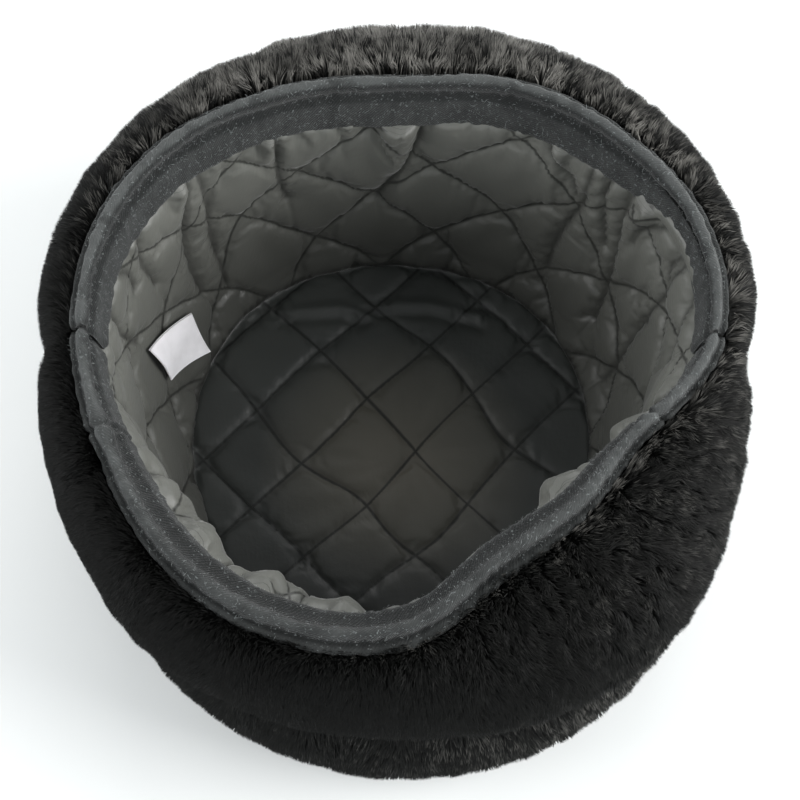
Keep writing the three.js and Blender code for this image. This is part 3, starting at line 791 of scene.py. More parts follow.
def grow_hair(
    name, skin, degrees, count, width, node, material, shape, seed,
    lean=1.0, floor=None, paler=0.0, by_rim=0.0,
):
    """Bent strands on a grid of roots, combed along it, wandering, and drawn together in locks."""
    rng = np.random.default_rng(seed)
    pile, lock = shape.pile * 1000, shape.lock_size * 1000
    along = np.gradient(skin, axis=1)
    across = np.gradient(skin, axis=0)
    normal = unit(np.cross(across, along))
    if np.mean(np.sum(normal * (skin - np.array([0, 0, 60.0])), -1)) < 0:
        normal = -normal
    down = unit(along)
    steps = np.linalg.norm(np.diff(skin, axis=1), axis=-1)
    place_v = np.concatenate([np.zeros((len(skin), 1)), np.cumsum(steps, 1)], 1)
    place_u = np.repeat(np.radians(degrees)[:, None] * FUR_MIDDLE, skin.shape[1], 1)
    turn = np.repeat(np.asarray(degrees, float)[:, None], skin.shape[1], 1)
    corner = skin[:-1, :-1]
    cell = np.linalg.norm(np.cross(skin[1:, :-1] - corner, skin[:-1, 1:] - corner), axis=-1)
    chance = np.cumsum(cell.ravel())
    picked = np.searchsorted(chance, rng.random(count) * chance[-1])
    i, j = np.divmod(np.minimum(picked, cell.size - 1), cell.shape[1])
    s, t = rng.random(count), rng.random(count)

    def between(grid):
        extra = (1,) * (grid.ndim - 2)
        a, b = s.reshape(-1, *extra), t.reshape(-1, *extra)
        return mix(mix(grid[i, j], grid[i + 1, j], a), mix(grid[i, j + 1], grid[i + 1, j + 1], a), b)

    root, up, comb, u, v, at = (between(g) for g in (skin, normal, down, place_u, place_v, turn))
    up, comb = unit(up), unit(comb)
    side = unit(np.cross(up, comb))
    middle, shared = lock_centres(u, v, lock, seed)
    small, small_shared = lock_centres(u, v, lock * SMALL_LOCK, seed + 1)
    beside_band = by_rim * bell(v, BESIDE_BAND)
    ruffled = outline("ruffled", at, NAP)
    # Painted light: the tips are paler by side, most on the far side where the light grazes the fur, more
    # beside the band and by any extra share that is asked for.
    pale = np.clip(outline("pale", at, NAP) + paler + 0.22 * beside_band, 0, 1.3)
    wander = shape.swirl * (0.8 * ripples(at, v, seed + 2, 3, 40, 45) + 2.4 * ruffled * (shared[:, 0] - 0.5))
    wander = wander + 0.3 * rng.normal(size=count)
    way = (np.cos(wander) * (1 - 0.75 * beside_band))[:, None] * comb + np.sin(wander)[:, None] * side
    uneven = 0.06 * ripples(at, v, seed + 3, 10, 60, 30) + 0.12 * ruffled * (shared[:, 1] - 0.5)
    far = 0.4 * bell(turn_between(at, 92), 34)
    rough = 0.05 + 0.13 * ruffled
    tall = np.clip(pile * (0.9 + uneven + far + rough * (rng.random(count) - 0.5)), pile * 0.4, pile * 1.6)
    tall = tall * (1 + 0.1 * beside_band)
    reach = pile * math.tan(shape.lean) * lean * (0.7 + 0.5 * ruffled * (0.5 + shared[:, 2]))
    reach = reach * rng.uniform(0.7, 1.25, count)
    draw = shape.clumping * ruffled
    pull_u = (middle[:, 0] - u) * draw + (small[:, 0] - u) * 0.3
    pull_v = (middle[:, 1] - v) * draw + (small[:, 1] - v) * 0.3
    sign = np.sign(np.sum(side * between(across), -1))
    pull = pull_u[:, None] * side * sign[:, None] + pull_v[:, None] * comb
    tip = root + up * tall[:, None] + way * reach[:, None] + pull
    bend = root + up * (tall * BEND_UP)[:, None] + way * (reach * BEND_OUT)[:, None] + pull * BEND_PULL
    if floor is not None:
        tip[:, 2] = np.maximum(tip[:, 2], floor + 0.4 * rng.random(count))
        bend[:, 2] = np.maximum(bend[:, 2], floor + 0.3)
    run = unit(tip - bend)
    flat = unit(np.cross(run, up))
    twist = rng.normal(scale=0.45, size=count)[:, None]
    flat = flat * np.cos(twist) + np.cross(run, flat) * np.sin(twist)
    half = flat * (width * 1000 / 2 * rng.uniform(0.7, 1.3, count))[:, None]
    points, quads = blades(root, bend, tip, half)
    facing = np.sum(np.cross(points[:, 1] - points[:, 0], points[:, 3] - points[:, 0]) * up, -1) < 0
    quads[facing] = quads[facing][:, ::-1]
    round_u = (u - middle[:, 0])[:, None] * side * sign[:, None] + (v - middle[:, 1])[:, None] * comb
    lit = unit(up + 0.4 * round_u / lock + 0.25 * rng.normal(size=(count, 3)) + 0.2 * np.cross(flat, run))
    normals = np.repeat(lit[:, None], 4, 1)
    mottled = 0.62 + (0.2 + 0.8 * ruffled) * (small_shared[:, 0] - 0.5) + 0.4 * (shared[:, 3] - 0.5) * ruffled
    level = np.clip((mottled + 0.4 * (rng.random(count) - 0.5)) * (0.12 + 0.88 * pale), 0, 1)
    # The root keeps a dark tone as painted shade deep in the pile; beside the band root and bend are lifted
    # as painted light against the shade there.
    low = level * mix(0.5, 0.95, beside_band)
    tone = np.stack([level * mix(0.05, 0.7, beside_band), low, level, low], -1)
    hair = make_mesh(name, points, quads, tone=tone, normals=normals, closed=False)
    dress(hair, material, [node])


def smooth_path(points, count):
    """Even points on a smooth line through the given ones."""
    t = np.concatenate([[0], np.cumsum(np.hypot(*np.diff(points, axis=0).T))])
    fine = np.linspace(0, t[-1], count)
    index = np.clip(np.searchsorted(t, fine, side="right") - 1, 0, len(points) - 2)
    padded = np.concatenate([[2 * points[0] - points[1]], points, [2 * points[-1] - points[-2]]])
    share = ((fine - t[index]) / (t[index + 1] - t[index]))[:, None]
    return curve_between(*(padded[index + k] for k in range(4)), share), fine


def band_piece(node, start, end, material, seams, shape, seed):
    """One half of the folded band, with a rolled ridge, a groove, cross seams and a soft uneven surface."""
    degrees = np.linspace(start, end, BAND_COLUMNS)
    path, v = smooth_path(BAND_PATH, BAND_ROWS)
    slope = np.gradient(path, axis=0)
    out = np.stack([-slope[:, 1], slope[:, 0]], -1)
    out /= np.linalg.norm(out, axis=1, keepdims=True)
    rim = rim_radius(degrees)
    ridge = np.argmax(path[:, 1])
    section = np.repeat(path[None], BAND_COLUMNS, 0)
    section[:, :ridge, 0] -= round_table(LEAN, degrees)[:, None] * ease((-path[None, :ridge, 1] - 3.6) / 5.5)
    outward = np.maximum(path[None, ridge:, 0] + 0.1, 0)
    section[:, ridge:, 0] += round_table(ROLL, degrees)[:, None] * 1.2 * outward
    bumps = 0.16 * ripples(degrees[:, None], v[None], seed, 20, 150, 9, 14)
    bumps = bumps + 0.25 * ripples(degrees[:, None], v[None], seed + 1, 6, 30, 30, 8)
    ends = np.minimum(np.abs(degrees - start), np.abs(degrees - end))
    for seam in seams:
        near = turn_between(degrees, seam) * BAND_DEGREE
        bumps = bumps - (bell(near, 0.7) - 0.55 * bell(near - 2.2, 1.3))[:, None]
    bumps = bumps - (0.8 * bell(ends * BAND_DEGREE, 1.2))[:, None]
    cloth = shape.band_cloth * 1000
    inward = out if out[0, 0] < 0 else -out
    front_r = rim[:, None] + section[..., 0] + inward[None, :, 0] * (bumps - 0.1)
    front_z = RIM_HEIGHT + section[..., 1] + inward[None, :, 1] * (bumps - 0.1)
    few = np.unique(np.linspace(len(v) - 1, 0, BAND_BACK_ROWS).astype(int))[::-1]
    back_r = front_r[:, few] - inward[None, few, 0] * cloth
    back_z = front_z[:, few] - inward[None, few, 1] * cloth
    front = polar(front_r, degrees[:, None], front_z)
    back = polar(back_r, degrees[:, None], back_z)
    loops = np.concatenate([front, back], 1)
    rows = loops.shape[1]
    u = run_along(front[:, BAND_MEASURED_ROW])
    across = np.concatenate([v, v[few]])
    uv = np.stack(np.broadcast_arrays(u[:, None], across[None]), -1)
    quads = grid_quads(BAND_COLUMNS, rows, wrap_rows=True)
    band = make_mesh(node + "_cloth", loops, quads, end_caps(BAND_COLUMNS, rows), uv=uv)
    dress(band, material, [node])
    return front, inward


def quilt_wall(degrees, height):
    """Counts diamonds round and up the wall. A row of stitches is where their sum or difference is whole."""
    shift_a = 1.2 * ripples(degrees, height, 71, 2, 9, 90)
    shift_h = 1.6 * ripples(degrees, height, 72, 2, 9, 90)
    for at, up, aside, rise in WALL_PULLS:
        near = np.exp(-((turn_between(degrees, at) / 14) ** 2) - ((height - up) / 20) ** 2)
        shift_a, shift_h = shift_a + aside * near, shift_h + rise * near
    return (degrees + shift_a - QUILT_ANGLE) / DIAMOND_ANGLE, (height + shift_h - QUILT_BASE) / DIAMOND_HEIGHT


def quilt_tip(x, y):
    """Counts the rows of both kinds across the tip's lining. A row of stitches is where either is whole."""
    angle = turn_at(x, y)
    calm = 1.2 * ease(np.hypot(x, y) / 40)
    shift_x = calm * ripples(angle, np.hypot(x, y), 81, 1, 5, 90)
    shift_y = calm * ripples(angle, np.hypot(x, y), 82, 1, 5, 90)
    for at_x, at_y, aside, ahead in TIP_PULLS:
        near = np.exp(-(((x - at_x) ** 2 + (y - at_y) ** 2) / 22**2))
        shift_x, shift_y = shift_x + aside * near, shift_y + ahead * near
    x, y = x + shift_x, y + shift_y
    rise, fall, offset, aside = TIP_QUILT
    return (x + y - offset) / rise, (x - y - aside) / fall


def tuck_line(tuck, degrees, height):
    """Where a point is by a tuck: mm aside of it, share of the way down it and mm below its foot."""
    top_at, top, low_at, low = tuck[:4]
    t = np.clip((top - height) / (top - low), 0, 1)
    middle = mix(top_at, low_at, t) + 1.1 * np.sin(t * 4 + top_at)
    return signed_turn(degrees, middle) * LINING_DEGREE, t, np.maximum(low - height, 0)


def tuck_relief(degrees, height):
    """Depth of the sharp tucks and the soft ridges beside them."""
    relief = np.zeros(np.broadcast(degrees, height).shape)
    for tuck in TUCKS:
        aside, t, below = tuck_line(tuck, degrees, height)
        width, depth = tuck[4:]
        share = (1 - 0.6 * t) * bell(below, 9) * ease((tuck[1] + 6 - height) / 8)
        wide = width * (1 + 0.8 * t)
        relief = relief - depth * share * np.exp(-np.abs(aside) / (0.62 * wide))
        relief = relief + 0.32 * depth * share * bell(aside - 2.6 * wide, 2.2 * wide)
        relief = relief + 0.2 * depth * share * bell(aside + 2.8 * wide, 2.4 * wide)
    return relief


def lining_front(degrees, height, puff):
    """Radius of the lining's front."""
    top = RIM_HEIGHT - BAND_DEPTH
    share = (top - height) / (top - LINING_FLOOR)
    around, up = quilt_wall(degrees, height)
    quilt = np.abs(np.sin(np.pi * (around + up)) * np.sin(np.pi * (around - up)))
    depth = LINING_THICKNESS + puff * np.sqrt(quilt) * ease(share * 4 + 0.15)
    for at, width, deep, reach in BROAD_FOLDS:
        aside = np.clip(turn_between(degrees, at) / width, 0, 1)
        along = np.clip(1 - share / reach, 0, 1)
        depth = depth + FOLD_DEPTH * deep * np.cos(aside * np.pi * 1.5) * (1 - aside) * along * 0.8
    high = 1 - ease((84 - height) / 46)
    depth = depth + (round_table(SAG, degrees) * ease((top - height) / 8) + round_table(LEAN, degrees)) * high
    depth = depth + 2.0 * ease((share - 0.88) / 0.12)
    depth = depth + tuck_relief(degrees, height)
    gather = np.exp(-np.maximum(share, 0) * 9)
    depth = depth + 0.55 * gather * ripples(degrees, height, 73, 40, 90, 60, 12)
    depth = depth + 0.22 * ripples(degrees, height, 74, 12, 45, 22, 12)
    return lining_back(degrees, height) - np.maximum(1.2, depth)


def puff_up(points, quads, sewn, limit):
    """Cloth that is held at its sewn points, a little larger than its bed and blown up by the padding.

    It is simulated at ten times its size. No point moves further than the limit, in mm.
    """
    scale = 10.0
    frames = 10
    mesh = bpy.data.meshes.new("puffing")
    mesh.from_pydata((points / 1000 * scale).tolist(), [], quads.tolist())
    sheet = add_object("puffing", mesh)
    sheet.vertex_groups.new(name="sewn").add(np.flatnonzero(sewn).tolist(), 1.0, "REPLACE")
    cloth = sheet.modifiers.new("Cloth", "CLOTH")
    settings = {
        "quality": 4, "mass": 0.05, "tension_stiffness": 8.0, "compression_stiffness": 8.0,
        "shear_stiffness": 3.0, "bending_stiffness": 0.1, "air_damping": 1.0, "use_pressure": True,
        "uniform_pressure_force": 9.0, "vertex_group_mass": "sewn", "shrink_min": -0.03, "shrink_max": -0.03,
    }
    for key, value in settings.items():
        setattr(cloth.settings, key, value)
    cloth.settings.effector_weights.gravity = 0
    cloth.collision_settings.use_collision = False
    scene = bpy.context.scene
    for step in range(frames):
        scene.frame_set(step + 1)
    bpy.ops.object.select_all(action="DESELECT")
    bpy.context.view_layer.objects.active = sheet
    bpy.ops.object.modifier_apply(modifier="Cloth")
    moved = coordinates(sheet.data) / scale * 1000 - points
    bpy.data.objects.remove(sheet)
    scene.frame_set(1)
    far = np.linalg.norm(moved, axis=1, keepdims=True)
    return points + moved * limit * (1 - np.exp(-2.4 * far / limit)) / np.maximum(far, 1e-6)


def drawn_puff():
    """Otherwise the lining is laid flat and blown up."""
    return 0.0


def near_tuck(degrees, height):
    """Distance in mm to the nearest sharp tuck."""
    best = np.full(np.broadcast(degrees, height).shape, 99.0)
    for tuck in TUCKS:
        aside, _, below = tuck_line(tuck, degrees, height)
        best = np.minimum(best, np.hypot(aside, below * 2))
    return best


def lining_side_piece(material):
    """The quilted wall: its front, blown up between the stitches, and a plain back that the crown holds."""
    columns, rows = ((480, 72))
    degrees = np.linspace(0, 360, columns, endpoint=False)
    shares = np.linspace(0, 1, rows) ** 0.94
    top = RIM_HEIGHT - BAND_DEPTH
    height = mix(top + 0.3, LINING_FLOOR - 1.1, shares)[None]
    at = degrees[:, None]
    puff = drawn_puff()
    front = polar(lining_front(at, height, puff), at, height)
    around, up = quilt_wall(at, height)
    far = np.minimum(*(np.abs(line - np.round(line)) * ROW_GAP for line in (around + up, around - up)))
    sewn = (far < HELD_BY_STITCH) | (near_tuck(at, height) < HELD_BY_TUCK)
    sewn[:, [0, -1]] = True
    quads = grid_quads(columns, rows, True)
    if np.dot(first_normal(front.reshape(-1, 3), quads), front[0, 0] * [1, 1, 0]) > 0:
        quads = quads[:, ::-1]
    under_label = np.exp(-((turn_between(at, LABEL_ANGLE) / 9) ** 4) - (((height - 44) / 20) ** 4))
    limit = mix(WALL_LIMIT, LABEL_LIMIT, under_label).reshape(-1, 1)
    front = puff_up(front.reshape(-1, 3), quads, sewn.ravel(), limit).reshape(columns, rows, 3)
    tuck = rim_radius(degrees) + mix(-4.04, -6.8, (16 - 6.6) / 14.4) + BAND_CLOTH
    back = [(tip_radius(degrees) + 0.4, TIP_SEAT)]
    for share, inward, lower in ((0, 0.8, 4.6), (0.25, 0, 0), (0.5, 0, 0), (0.75, 0, 0), (1, 0, 0)):
        level = mix(LINING_FLOOR, top - 1, share)
        back.append((lining_back(degrees, level) - inward, level - lower))
    back += [(tuck, top + 5), (tuck - 1, top + 5), (lining_back(degrees, top) - 1.4, top + 1.2)]
    loops = np.concatenate([front, carried(back, degrees)], 1)
    # Painted shade kept in the tone attribute: darker in the tucks and along the foot of the wall where it
    # meets the tip.
    crease_shade = np.zeros(loops.shape[:2])
    crease_shade[:, :rows] = 0.75 * bell(near_tuck(at, height), 1.2)
    crease_shade[:, :rows] += 0.85 * ease((LINING_FLOOR + 2.6 - height) / 2.4)
    around, up = quilt_wall(at, height)
    uv = np.full((*loops.shape[:2], 2), 0.5)
    uv[:, :rows] = np.stack([around + up, around - up], -1)
    uv[:, rows:] = uv[:, rows - 1 : rows]
    faces = grid_quads(columns, loops.shape[1], True, True)
    piece = make_mesh("lining_wall", loops, faces, uv=uv, tone=crease_shade, wrap=360 / DIAMOND_ANGLE)
    dress(piece, material, ["lining_side"])


def tip_fold(x, y):
    """How near a point is to one of the tip's folds: 1 on it."""
    far = np.full(np.shape(x), np.inf)
    for (ax, ay), (bx, by) in TIP_FOLDS:
        t = np.clip(((x - ax) * (bx - ax) + (y - ay) * (by - ay)) / ((bx - ax) ** 2 + (by - ay) ** 2), 0, 1)
        far = np.minimum(far, np.hypot(x - ax - t * (bx - ax), y - ay - t * (by - ay)))
    return bell(far, 1.9)


def tip_height(x, y, puff):
    """Height of the front of the tip's lining."""
    a, b = quilt_tip(x, y)
    quilt = np.abs(np.sin(np.pi * a) * np.sin(np.pi * b))
    angle = turn_at(x, y)
    radius = np.hypot(x, y)
    small = 0.2 * ripples(angle, radius, 91, 4, 20, 24, 12) * ease(radius / 20)
    small = small + 1.3 * tip_fold(x, y) - 0.8 * tip_fold(x, y + 3.6)
    return TIP_SEAT + LINING_THICKNESS + puff * np.sqrt(quilt) + small


def disc_square(count):
    """A square grid of points drawn into a unit disc, with even cells."""
    a, b = np.meshgrid(np.linspace(-1, 1, count), np.linspace(-1, 1, count), indexing="ij")
    with np.errstate(divide="ignore", invalid="ignore"):
        wide = np.abs(a) > np.abs(b)
        r = np.where(wide, a, b)
        angle = np.where(wide, np.pi / 4 * b / a, np.pi / 2 - np.pi / 4 * a / b)
    angle = np.nan_to_num(angle)
    return r * np.cos(angle), r * np.sin(angle)


def lining_tip_piece(material):
    """The quilted tip: its front, blown up between the stitches, with a low edge and a flat back."""
    count = 120
    x, y = disc_square(count)
    angle = turn_at(x, y)
    edge_radius = tip_radius(angle) - 0.3
    radius = np.hypot(x, y) * edge_radius
    x, y = radius * np.cos(np.radians(angle)), radius * np.sin(np.radians(angle))
    rim = np.clip((edge_radius - radius) / 3.5, 0, 1)
    z = tip_height(x, y, drawn_puff())
    z = mix(TIP_SEAT + 3.4, z, np.sqrt(rim))
    front = np.stack([x, y, z], -1).reshape(-1, 3)
    quads = grid_quads(count, count)
    rows = zip(quilt_tip(x, y), TIP_QUILT)
    rise, fall = (np.abs(line - np.round(line)) * width * 0.7 for line, width in rows)
    sewn = (np.minimum(rise, fall) < HELD_BY_STITCH) | (rim < 0.3)
    upward = quads if first_normal(front, quads)[2] > 0 else quads[:, ::-1]
    front = puff_up(front, upward, sewn.ravel(), TIP_LIMIT)
    edge = grid_edge(count, count)
    low = front[edge].copy()
    low[:, 2] = TIP_SEAT
    base = len(front) + np.arange(len(edge))
    skirt = np.stack([edge, base, np.roll(base, -1), np.roll(edge, -1)], -1)
    if first_normal(front, quads)[2] < 0:
        quads = quads[:, ::-1]
    uv = np.stack(quilt_tip(x, y), -1).reshape(-1, 2)
    uv = np.concatenate([uv, uv[edge]])
    points, faces = np.concatenate([front, low]), np.concatenate([quads, skirt])
    piece = make_mesh("lining_floor", points, faces, [list(base)], uv=uv)
    dress(piece, material, ["lining_tip"])


def stitch_row(path, out, length, thread):
    """Spindle shaped stitches end to end along a path that is given by points and outward directions."""
    t = run_along(path)
    count = int(t[-1] / (length * 1.32))
    if count < 1:
        return np.zeros((0, 6, 3))
    begin = (np.arange(count) + 0.16) * (t[-1] / count)

    def at(values, grid):
        return np.stack([np.interp(values, t, grid[:, k]) for k in range(3)], -1)

    a, b = at(begin, path), at(begin + length, path)
    up = unit(at(begin + length / 2, out))
    along = unit(b - a)
    side = unit(np.cross(along, up))
    middle = (a + b) / 2 + up * thread * 0.5
    half = thread / 2
    ring = [middle + side * half, middle + up * half, middle - side * half, middle - up * half]
    return np.stack([a, *ring, b], 1)


def stitch_mesh(name, spindles, material):
    """All stitches as one piece that stands for no node of its own."""
    count = len(spindles)
    first = np.arange(count)[:, None] * 6
    fans = [[0, 2, 1], [0, 3, 2], [0, 4, 3], [0, 1, 4], [5, 1, 2], [5, 2, 3], [5, 3, 4], [5, 4, 1]]
    faces = (first[:, None] + np.array(fans)[None]).reshape(-1, 3)
    mesh = bpy.data.meshes.new(name)
    points = (spindles.reshape(-1, 3) + CENTRE) / 1000
    mesh.from_pydata(points.tolist(), [], faces.tolist())
    mesh.update()
    dress(add_object(name, mesh), material)


class USHANKA_OT_stage(Operator):
    """Sets the camera at the hat's viewing angle, the pale floor and the soft lights"""

    bl_idname = "ushanka.stage"
    bl_label = "Stage"

    def execute(self, context):
        scene = context.scene
        angle = math.radians(CAMERA_ANGLE)
        camera = add_object("camera", bpy.data.cameras.new("camera"))
        away = np.array([0, -math.cos(angle), math.sin(angle)]) * CAMERA_DISTANCE
        camera.location = np.array(CAMERA_TARGET) + away
        camera.rotation_euler = (math.pi / 2 - angle, 0, 0)
        camera.data.sensor_width = 36
        camera.data.lens = CAMERA_LENS
        scene.camera = camera

        bpy.ops.mesh.primitive_plane_add(size=6, location=(0, 0, 0))
        floor = context.object
        floor.name = "floor"
        nodes = Nodes("pale_floor")
        colour = nodes.blend(nodes.noise(nodes.place(), 3.0, 2.0), (0.86, 0.875, 0.87), (0.82, 0.84, 0.835))
        floor.data.materials.append(nodes.finish(colour, 0.9, Specular_IOR_Level=0.1))

        for name, (place, size, power) in LAMPS.items():
            lamp = add_object(name, bpy.data.lights.new(name, "AREA"))
            lamp.data.size = size
            lamp.data.energy = power
            lamp.data.color = (1.0, 0.99, 0.98)
            lamp.location = place
            x, y, z = np.array(LAMP_TARGET) - np.array(place)
            lamp.rotation_euler = (math.atan2(math.hypot(x, y), -z), 0, math.atan2(y, x) - math.pi / 2)

        sky = Nodes("light_tent", bpy.data.worlds)
        _, ahead, up = sky.parts(sky.add("ShaderNodeTexCoord").outputs["Generated"])
        low = sky.math("POWER", sky.math("SUBTRACT", 1.0, sky.math("ABSOLUTE", up)), 1.3)
        strength = sky.plus(sky.times(low, sky.span(ahead, -1.0, 1.0, 2.7, 2.6)), 0.2)
        backdrop = sky.tree.nodes["Background"]
        sky.tree.links.new(strength, backdrop.inputs["Strength"])
        backdrop.inputs["Color"].default_value = (0.95, 0.98, 1.0, 1.0)
        scene.world = sky.material
        scene.view_settings.view_transform = "Standard"
        return {"FINISHED"}


class USHANKA_OT_fur_bodies(Operator):
    """Models the flaps, the crown's side and the crown's tip as closed bodies under the hair"""

    bl_idname = "ushanka.fur_bodies"
    bl_label = "Fur bodies"

    def execute(self, context):
        scene = context.scene
        pile = scene.ushanka_fur.pile * 1000
        material = backing_material(scene.ushanka_colours)
        front = np.linspace(LEFT_MEETING + MEETING_GAP, 360 + RIGHT_MEETING - MEETING_GAP, 200)
        back = np.linspace(RIGHT_MEETING + MEETING_GAP, LEFT_MEETING - MEETING_GAP, 200)
        columns = 300
        whole = np.linspace(0, 360, columns, endpoint=False)
        padded_body("front_flap", flap_body(front, pile), False, material)
        padded_body("back_flap", flap_body(back, pile), False, material)
        padded_body("crown_side", crown_body(whole, pile), True, material)

        below = [(0.985, 1), (0.9, 0.62), (0.7, 0.5), (0.4, 0.45), (0.12, 0.45)]
        rings = [(1, TIP_BACK), *((share, pile * up) for share, up in below)]
        rings += [(0.12, TIP_BACK), (0.5, TIP_BACK), (0.86, TIP_BACK + 0.1)]
        rows, inner = len(rings), len(below)
        loops = carried([(FLOOR_RADIUS * share - 0.3, height) for share, height in rings], whole)
        quads = grid_quads(columns, rows, True, True)
        keep = np.arange(len(quads)) % rows != inner
        low, high = ([i * rows + row for i in range(columns)] for row in (inner, inner + 1))
        body = make_mesh("crown_tip_cloth", loops, quads[keep], [low, high[::-1]])
        dress(body, material, ["crown_tip"])
        return {"FINISHED"}


class USHANKA_OT_fur(Operator):
    """Grows the plush hair on the flaps, the crown's side and under the crown"""

    bl_idname = "ushanka.fur"
    bl_label = "Fur"

    def execute(self, context):
        scene = context.scene
        shape = scene.ushanka_fur
        pile = shape.pile * 1000
        material = fur_material(scene.ushanka_colours)
        width = shape.hair_width
        halves = [
            ("back_flap_fur_right", "back_flap", RIGHT_MEETING + HAIR_GAP, 90, 11),
            ("back_flap_fur_left", "back_flap", 90, LEFT_MEETING - HAIR_GAP, 21),
            ("front_flap_fur_left", "front_flap", LEFT_MEETING + HAIR_GAP, 270, 31),
            ("front_flap_fur_right", "front_flap", 270, 360 + RIGHT_MEETING - HAIR_GAP, 41),
        ]
        for name, node, start, end, seed in halves:
            degrees = np.linspace(start, end, HAIR_COLUMNS)
            skin = flap_skin(degrees, pile)
            grow_hair(name, skin, degrees, shape.flap_strands, width, node, material, shape, seed, by_rim=1.0)
        for name, start, end, seed in (("crown_fur_back", 0, 180, 51), ("crown_fur_front", 180, 360, 61)):
            degrees = np.linspace(start, end, HAIR_COLUMNS)
            skin = crown_skin(degrees, pile)
            # The crown's hair gets an extra share of painted light on its tips.
            grow_hair(
                name, skin, degrees, shape.crown_strands, width * 1.3, "crown_side", material, shape, seed,
                lean=0.9, floor=0.1, paler=0.3,
            )
        degrees = np.linspace(0, 360, 180)
        skin = carried([(FLOOR_RADIUS * share, pile * 0.62) for share in np.linspace(0.06, 1, 24)], degrees)
        grow_hair(
            "crown_tip_fur", skin, degrees, shape.tip_strands, width * 2, "crown_tip", material, shape, 71,
            lean=1.2, floor=0.0,
        )
        return {"FINISHED"}


class USHANKA_OT_bands(Operator):
    """Folds the two halves of the twill band over the rim and scatters lint on them"""

    bl_idname = "ushanka.bands"
    bl_label = "Bands"

    def execute(self, context):
        scene = context.scene
        look, shape = scene.ushanka_colours, scene.ushanka_cloth
        material = twill_material(look)
        halves = [
            ("front_band", LEFT_MEETING + BAND_GAP, 360 + RIGHT_MEETING - BAND_GAP, [197, 343], 101),
            ("back_band", RIGHT_MEETING + BAND_GAP, LEFT_MEETING - BAND_GAP, [], 111),
        ]
        rng = np.random.default_rng(5)
        fibres = []
        count = LINT_FIBRES
        for node, start, end, seams, seed in halves:
            front, inward = band_piece(node, start, end, material, seams, shape, seed)
            i = rng.integers(2, front.shape[0] - 3, count)
            j = rng.integers(1, BAND_ROWS - 4, count)
            root = front[i, j] + (front[i + 1, j] - front[i, j]) * rng.random((count, 1))
            radial = unit(front[i, j] * np.array([1, 1, 0]))
            up = radial * inward[j, 0][:, None] + np.array([0, 0, 1.0]) * inward[j, 1][:, None]
            along = unit(front[i + 1, j] - front[i, j])
            spin = rng.uniform(0, 2 * np.pi, count)[:, None]
            way = along * np.cos(spin) + np.cross(up, along) * np.sin(spin)
            length = rng.uniform(0.5, 2.2, count)[:, None]
            tip = root + way * length + up * rng.uniform(0.2, 0.9, (count, 1))
            bend = root + way * length * 0.5 + up * rng.uniform(0.3, 0.8, (count, 1))
            half = unit(np.cross(way, up)) * rng.uniform(0.04, 0.09, (count, 1))
            fibres.append(np.stack([root, bend, tip, half]))
        lint = make_mesh("band_lint", *blades(*np.concatenate(fibres, 1)), closed=False)
        nodes = Nodes("lint")
        colour = nodes.blend(nodes.noise(nodes.place(), 200.0), look.lint, look.band_light)
        dress(lint, nodes.finish(colour, 0.8, Sheen_Weight=0.3))
        return {"FINISHED"}


class USHANKA_OT_lining(Operator):
    """Models the quilted lining of the wall and of the tip"""

    bl_idname = "ushanka.lining"
    bl_label = "Lining"

    def execute(self, context):
        look, shape = context.scene.ushanka_colours, context.scene.ushanka_cloth
        wall = satin_material("lining_satin", look.lining_dark, look.lining_light, 29.5)
        lining_side_piece(wall)
        # The tip's satin gets the painted pool of light in its middle, and painted shade low on the far side
        # and on the near side.
        shade = {"lit_patch": 0.88, "far": 0.42, "near": 0.95}
        # The tip's lining uses darker copies of the satin's colours as painted shade.
        lining_tip_piece(satin_material("tip_satin_shaded", look.tip_shaded_dark, look.tip_shaded_light, 27.0, **shade))
        return {"FINISHED"}


class USHANKA_OT_quilting(Operator):
    """Sews the quilting rows of the lining, stitch by stitch"""

    bl_idname = "ushanka.quilting"
    bl_label = "Quilting"

    def execute(self, context):
        look, shape = context.scene.ushanka_colours, context.scene.ushanka_cloth
        length, thread = shape.stitch * 1000, shape.thread * 1000
        puff = drawn_puff()
        rows = []
        heights = np.linspace(QUILT_TOP, LINING_FLOOR + 1.5, 60)
        for k in range(round(360 / DIAMOND_ANGLE)):
            for lean in (-1, 1):
                degrees = np.full_like(heights, QUILT_ANGLE + DIAMOND_ANGLE * k)
                for _ in range(TRIES):
                    around, up = quilt_wall(degrees, heights)
                    degrees = degrees + (k + lean * up - around) * DIAMOND_ANGLE
                path = polar(lining_front(degrees, heights, puff) - THREAD_SINK, degrees, heights)
                rows.append(stitch_row(path, polar(-1.0, degrees, 0.25), length, thread))
        line = np.linspace(-TIP_ROW_REACH, TIP_ROW_REACH, 90)
        for k in range(-4, 5):
            for kind, way in enumerate((1, -1)):
                pitch, offset = TIP_QUILT[kind], TIP_QUILT[kind + 2]
                start = (offset + pitch * k) / 2
                x, y = start + line, way * start - way * line
                for _ in range(TRIES):
                    miss = (k - quilt_tip(x, y)[kind]) * pitch / 2
                    x, y = x + miss, y + way * miss
                inside = np.hypot(x, y) < tip_radius(turn_at(x, y)) - 4
                if inside.sum() < 4:
                    continue
                x, y = x[inside], y[inside]
                path = np.stack([x, y, tip_height(x, y, puff) + THREAD_SINK], -1)
                rows.append(stitch_row(path, np.tile([0.0, 0, 1], (len(x), 1)), length, thread))
        stitch_mesh("quilting_thread", np.concatenate(rows), thread_material("quilting_thread", look.thread))
        return {"FINISHED"}


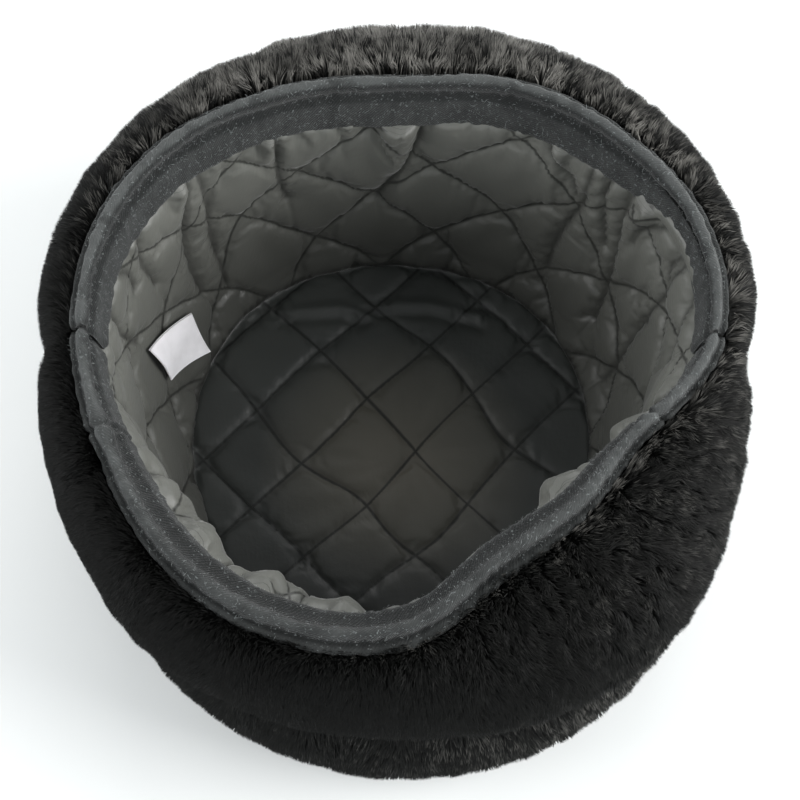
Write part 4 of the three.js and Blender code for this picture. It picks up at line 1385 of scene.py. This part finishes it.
class USHANKA_OT_care_label(Operator):
    """Models the bare care label, sewn in at its upper edge and curled away from the lining"""

    bl_idname = "ushanka.care_label"
    bl_label = "Care label"

    def execute(self, context):
        look = context.scene.ushanka_colours
        columns, rows = 36, 30
        across, down = np.linspace(0, 1, columns)[:, None], np.linspace(0, 1, rows)[None]
        at, up, curl = (mix(mix(a, b, across), mix(c, d, across), down) for a, b, c, d in zip(*LABEL_CORNERS))
        height = mix(LINING_FLOOR, RIM_HEIGHT, up)
        curl = curl + 1.6 * (1 - across) ** 2 * np.sin(np.pi * down)
        curl = curl + 0.5 * np.sin(3 * across + 4 * down) * down
        radius = lining_back(at, height) - LINING_THICKNESS - 1.0 - curl
        x, y, z = (coordinates(context.scene.objects["lining_wall"].data) * 1000 - CENTRE).T
        around, out = turn_at(x, y), np.hypot(x, y)
        near = (turn_between(around, LABEL_ANGLE) < 16) & (out < lining_back(around, z) - 1)
        around, rise, out = around[near], z[near], out[near]
        far = np.hypot((around - at[..., None]) * LINING_DEGREE, rise - height[..., None])
        clear = np.min(np.where(far < LABEL_LOOK, out, 999.0), -1) - LABEL_GAP
        flat_across, flat_down = (np.ravel(grid) for grid in np.broadcast_arrays(across, down))
        plane = np.stack([np.ones(radius.size), flat_across, flat_down], 1)
        room = (clear - radius).ravel()
        shift = plane @ np.linalg.lstsq(plane, room, rcond=None)[0]
        shift = np.minimum(shift + np.min(room - shift), 0).reshape(radius.shape)
        radius = radius + shift
        front = polar(radius, at, height)
        back = polar(radius + LABEL_THICKNESS, at, height)
        points = np.concatenate([front.reshape(-1, 3), back.reshape(-1, 3)])
        size = columns * rows
        faces = [grid_quads(columns, rows), grid_quads(columns, rows)[:, ::-1] + size]
        edge = grid_edge(columns, rows)
        faces.append(np.stack([np.roll(edge, -1), edge, edge + size, np.roll(edge, -1) + size], -1))
        wide, high = LABEL_SIZE
        uv = np.stack(np.broadcast_arrays(across * wide, down * high), -1).reshape(-1, 2)
        label = make_mesh("care_label_tape", points, np.concatenate(faces), uv=np.concatenate([uv, uv]))
        dress(label, label_material(look), ["care_label"])
        return {"FINISHED"}


STEPS = [
    USHANKA_OT_stage, USHANKA_OT_fur_bodies, USHANKA_OT_bands, USHANKA_OT_lining, USHANKA_OT_quilting,
    USHANKA_OT_care_label, USHANKA_OT_fur,
]


class USHANKA_PT_panel(Panel):
    bl_label = "Ushanka"
    bl_idname = "USHANKA_PT_panel"
    bl_space_type = "VIEW_3D"
    bl_region_type = "UI"
    bl_category = "Ushanka"

    def draw(self, context):
        layout = self.layout
        for step in STEPS:
            layout.operator(step.bl_idname)
        for group in (context.scene.ushanka_fur, context.scene.ushanka_cloth, context.scene.ushanka_colours):
            box = layout.box()
            for name in group.__annotations__:
                box.prop(group, name)


CLASSES = [FurShape, ClothShape, HatColours, *STEPS, USHANKA_PT_panel]


def register():
    for cls in CLASSES:
        bpy.utils.register_class(cls)
    bpy.types.Scene.ushanka_fur = PointerProperty(type=FurShape)
    bpy.types.Scene.ushanka_cloth = PointerProperty(type=ClothShape)
    bpy.types.Scene.ushanka_colours = PointerProperty(type=HatColours)


def unregister():
    del bpy.types.Scene.ushanka_colours
    del bpy.types.Scene.ushanka_cloth
    del bpy.types.Scene.ushanka_fur
    for cls in reversed(CLASSES):
        bpy.utils.unregister_class(cls)


def main():
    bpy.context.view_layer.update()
    register()
    bpy.ops.ushanka.stage()
    bpy.ops.ushanka.fur_bodies()
    bpy.ops.ushanka.bands()
    bpy.ops.ushanka.lining()
    bpy.ops.ushanka.quilting()
    bpy.ops.ushanka.care_label()
    bpy.ops.ushanka.fur()


if __name__ == "__main__":
    main()
